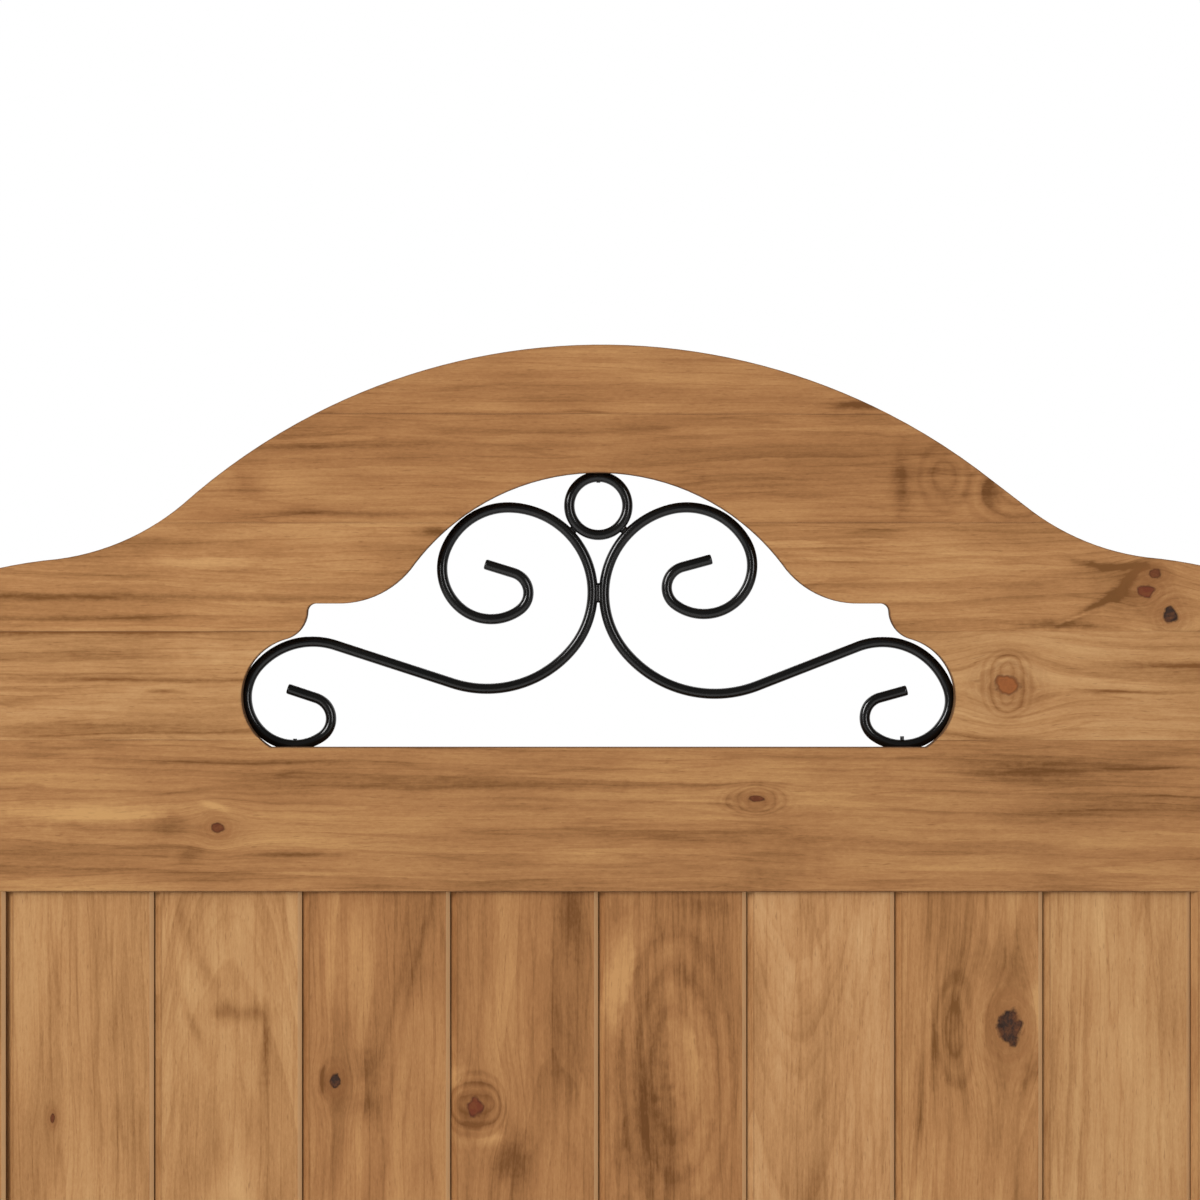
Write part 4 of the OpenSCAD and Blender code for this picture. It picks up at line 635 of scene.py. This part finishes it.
def scroll(name, up, down, side):
    """One bar from the upper curl's tip to the lower curl's: the upper steps run backwards."""
    k, weld_z = scroll_place(down)
    scaled_up = [[size * k, turn] for size, turn in up]
    tip_places, tip_headings = path_of((-WELD_X, weld_z, 90.0), scaled_up)
    start = (tip_places[-1, 0], tip_places[-1, 1], math.degrees(tip_headings[-1]) + 180)
    steps = [[s, -turn] for s, turn in scaled_up[::-1]] + [[s * k, turn] for s, turn in down]
    places, headings = path_of(start, steps)
    points, faces = bar_along(places, headings, BAR_D / 2, IRON_Y)
    points[:, 0] = MID_X + side * points[:, 0]
    if side > 0:
        faces = [f[::-1] for f in faces]
    make_piece(name, points, faces, scroll_paint, "leaf", name.replace("_bar", ""))


scroll("left_scroll_bar", LEFT_UP, LEFT_DOWN, 1)
scroll("right_scroll_bar", RIGHT_UP, RIGHT_DOWN, -1)
low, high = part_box("crest_ring")
ring_r = (high[0] - low[0]) / MM / 2 - BAR_D / 2
RING_STEPS = 200
turn = np.linspace(0, 2 * math.pi, RING_STEPS, endpoint=False)
ring_centre = ((low + high) / 2) / MM
ring_places = np.column_stack([ring_centre[0] + ring_r * np.sin(turn),
                               ring_centre[2] - ring_r * np.cos(turn)])
points, faces = bar_along(ring_places, turn, BAR_D / 2, IRON_Y, closed=True)
make_piece("crest_ring_bar", points, faces, scroll_paint, "leaf", "crest_ring")

# ------------------------------------------------------------------ floor, light and camera
FLOOR_HALF = 9.0                # metres
floor_z = cad_low[2] - 0.05     # the gate hangs 50 mm clear of it
mesh = bpy.data.meshes.new("floor")
corners = ((-1, -1), (1, -1), (1, 1), (-1, 1))
mesh.from_pydata([(x * FLOOR_HALF, y * FLOOR_HALF, floor_z) for x, y in corners], [],
                 [(0, 1, 2, 3)])
floor = bpy.data.objects.new("floor", mesh)
bpy.context.scene.collection.objects.link(floor)
floor_paint, t = new_material("white_floor")
seen = add(t, "LightPath", out="Is Camera Ray")
FLOOR_GLOW = 0.35               # lifts the floor towards the backdrop, for the camera alone
glow = add(t, "Math", {0: seen, 1: FLOOR_GLOW}, operation="MULTIPLY")
finish_surface(t, linear("#f3f3f3"), 0.9, Emission_Color=linear("#ffffff"),
               Emission_Strength=glow)
floor.data.materials.append(floor_paint)
floor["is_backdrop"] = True

world = bpy.data.worlds.new("studio")
bpy.context.scene.world = world
world.use_nodes = True
t = world.node_tree
t.nodes.clear()
path = t.nodes.new("ShaderNodeLightPath")
mirrored = add(t, "Math", {0: path.outputs["Is Glossy Ray"],
                           1: path.outputs["Is Transmission Ray"]}, operation="MAXIMUM")
# the backdrop is white behind the gate; the studio in front of it is unlit
direction = t.nodes.new("ShaderNodeSeparateXYZ")
t.links.new(add(t, "TexCoord", out="Generated"), direction.inputs[0])
backdrop = add(t, "MapRange", {0: direction.outputs[1], 1: -0.1, 2: 0.1, 3: 0.12, 4: 1.0})
mirrored = add(t, "Math", {0: mirrored, 1: backdrop}, operation="MULTIPLY")
shown = add(t, "Math", {0: path.outputs["Is Camera Ray"], 1: mirrored}, operation="MAXIMUM")
either = add(t, "Math", {0: path.outputs["Is Camera Ray"], 1: path.outputs["Is Glossy Ray"]},
             operation="MAXIMUM")
either = add(t, "Math", {0: either, 1: path.outputs["Is Transmission Ray"]}, operation="MAXIMUM")
AMBIENT = 0.46                  # the level light from all round that other rays meet
ambient = add(t, "Math", {0: 1.0, 1: either}, operation="SUBTRACT")
ambient = add(t, "Math", {0: AMBIENT, 1: ambient}, operation="MULTIPLY")
glow = add(t, "Math", {0: shown, 1: ambient}, operation="ADD")
sky = add(t, "Background", {0: linear("#ffffff"), 1: glow})
t.links.new(sky, t.nodes.new("ShaderNodeOutputWorld").inputs["Surface"])


def softbox(name, place, aim, width, height, power):
    """A rectangular softbox that faces the point it is aimed at."""
    lamp = bpy.data.lights.new(name, "AREA")
    lamp.shape, lamp.size, lamp.size_y, lamp.energy = "RECTANGLE", width, height, power
    box = bpy.data.objects.new(name, lamp)
    bpy.context.scene.collection.objects.link(box)
    box.location = place
    away = np.array(place) - np.array(aim)
    box.rotation_mode = "QUATERNION"
    box.rotation_quaternion = Vector(away).to_track_quat("Z", "Y")


AIM = (0.494, 0.0, 1.2)
softbox("key_left", (-2.5, -2.6, 3.0), AIM, 1.1, 1.8, 95.0)
softbox("fill_right", (2.6, -3.5, 2.0), AIM, 0.7, 1.8, 30.0)
# two upright strips at eye height draw the fine streaks down the upright bars
softbox("strip_left", (-1.85, -2.9, 1.5), (0.494, 0.0, 1.5), 0.22, 1.5, 9.0)
softbox("strip_right", (2.05, -3.5, 1.5), (0.494, 0.0, 1.5), 0.12, 1.5, 4.0)
softbox("softbox_back", (0.5, 3.5, 3.2), AIM, 2.5, 1.5, 40.0)

CAMERA_AWAY, VIEW_W = 3.5, 0.7284   # metres from the front face, and how much of it is seen
LEAF_T = 0.044                      # the leaf is this thick, and its front face sets the lens
VIEW_X, VIEW_Z = 0.4951, 1.5073     # the middle of what is seen
camera_data = bpy.data.cameras.new("camera")
camera_data.sensor_width = 36.0
camera_data.lens = camera_data.sensor_width * CAMERA_AWAY / VIEW_W
camera = bpy.data.objects.new("camera", camera_data)
bpy.context.scene.collection.objects.link(camera)
camera.location = (VIEW_X, -LEAF_T - CAMERA_AWAY, VIEW_Z)
camera.rotation_euler = (math.pi / 2, 0.0, 0.0)
bpy.context.scene.camera = camera
bpy.context.scene.view_settings.view_transform = "Standard"

low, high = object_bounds()
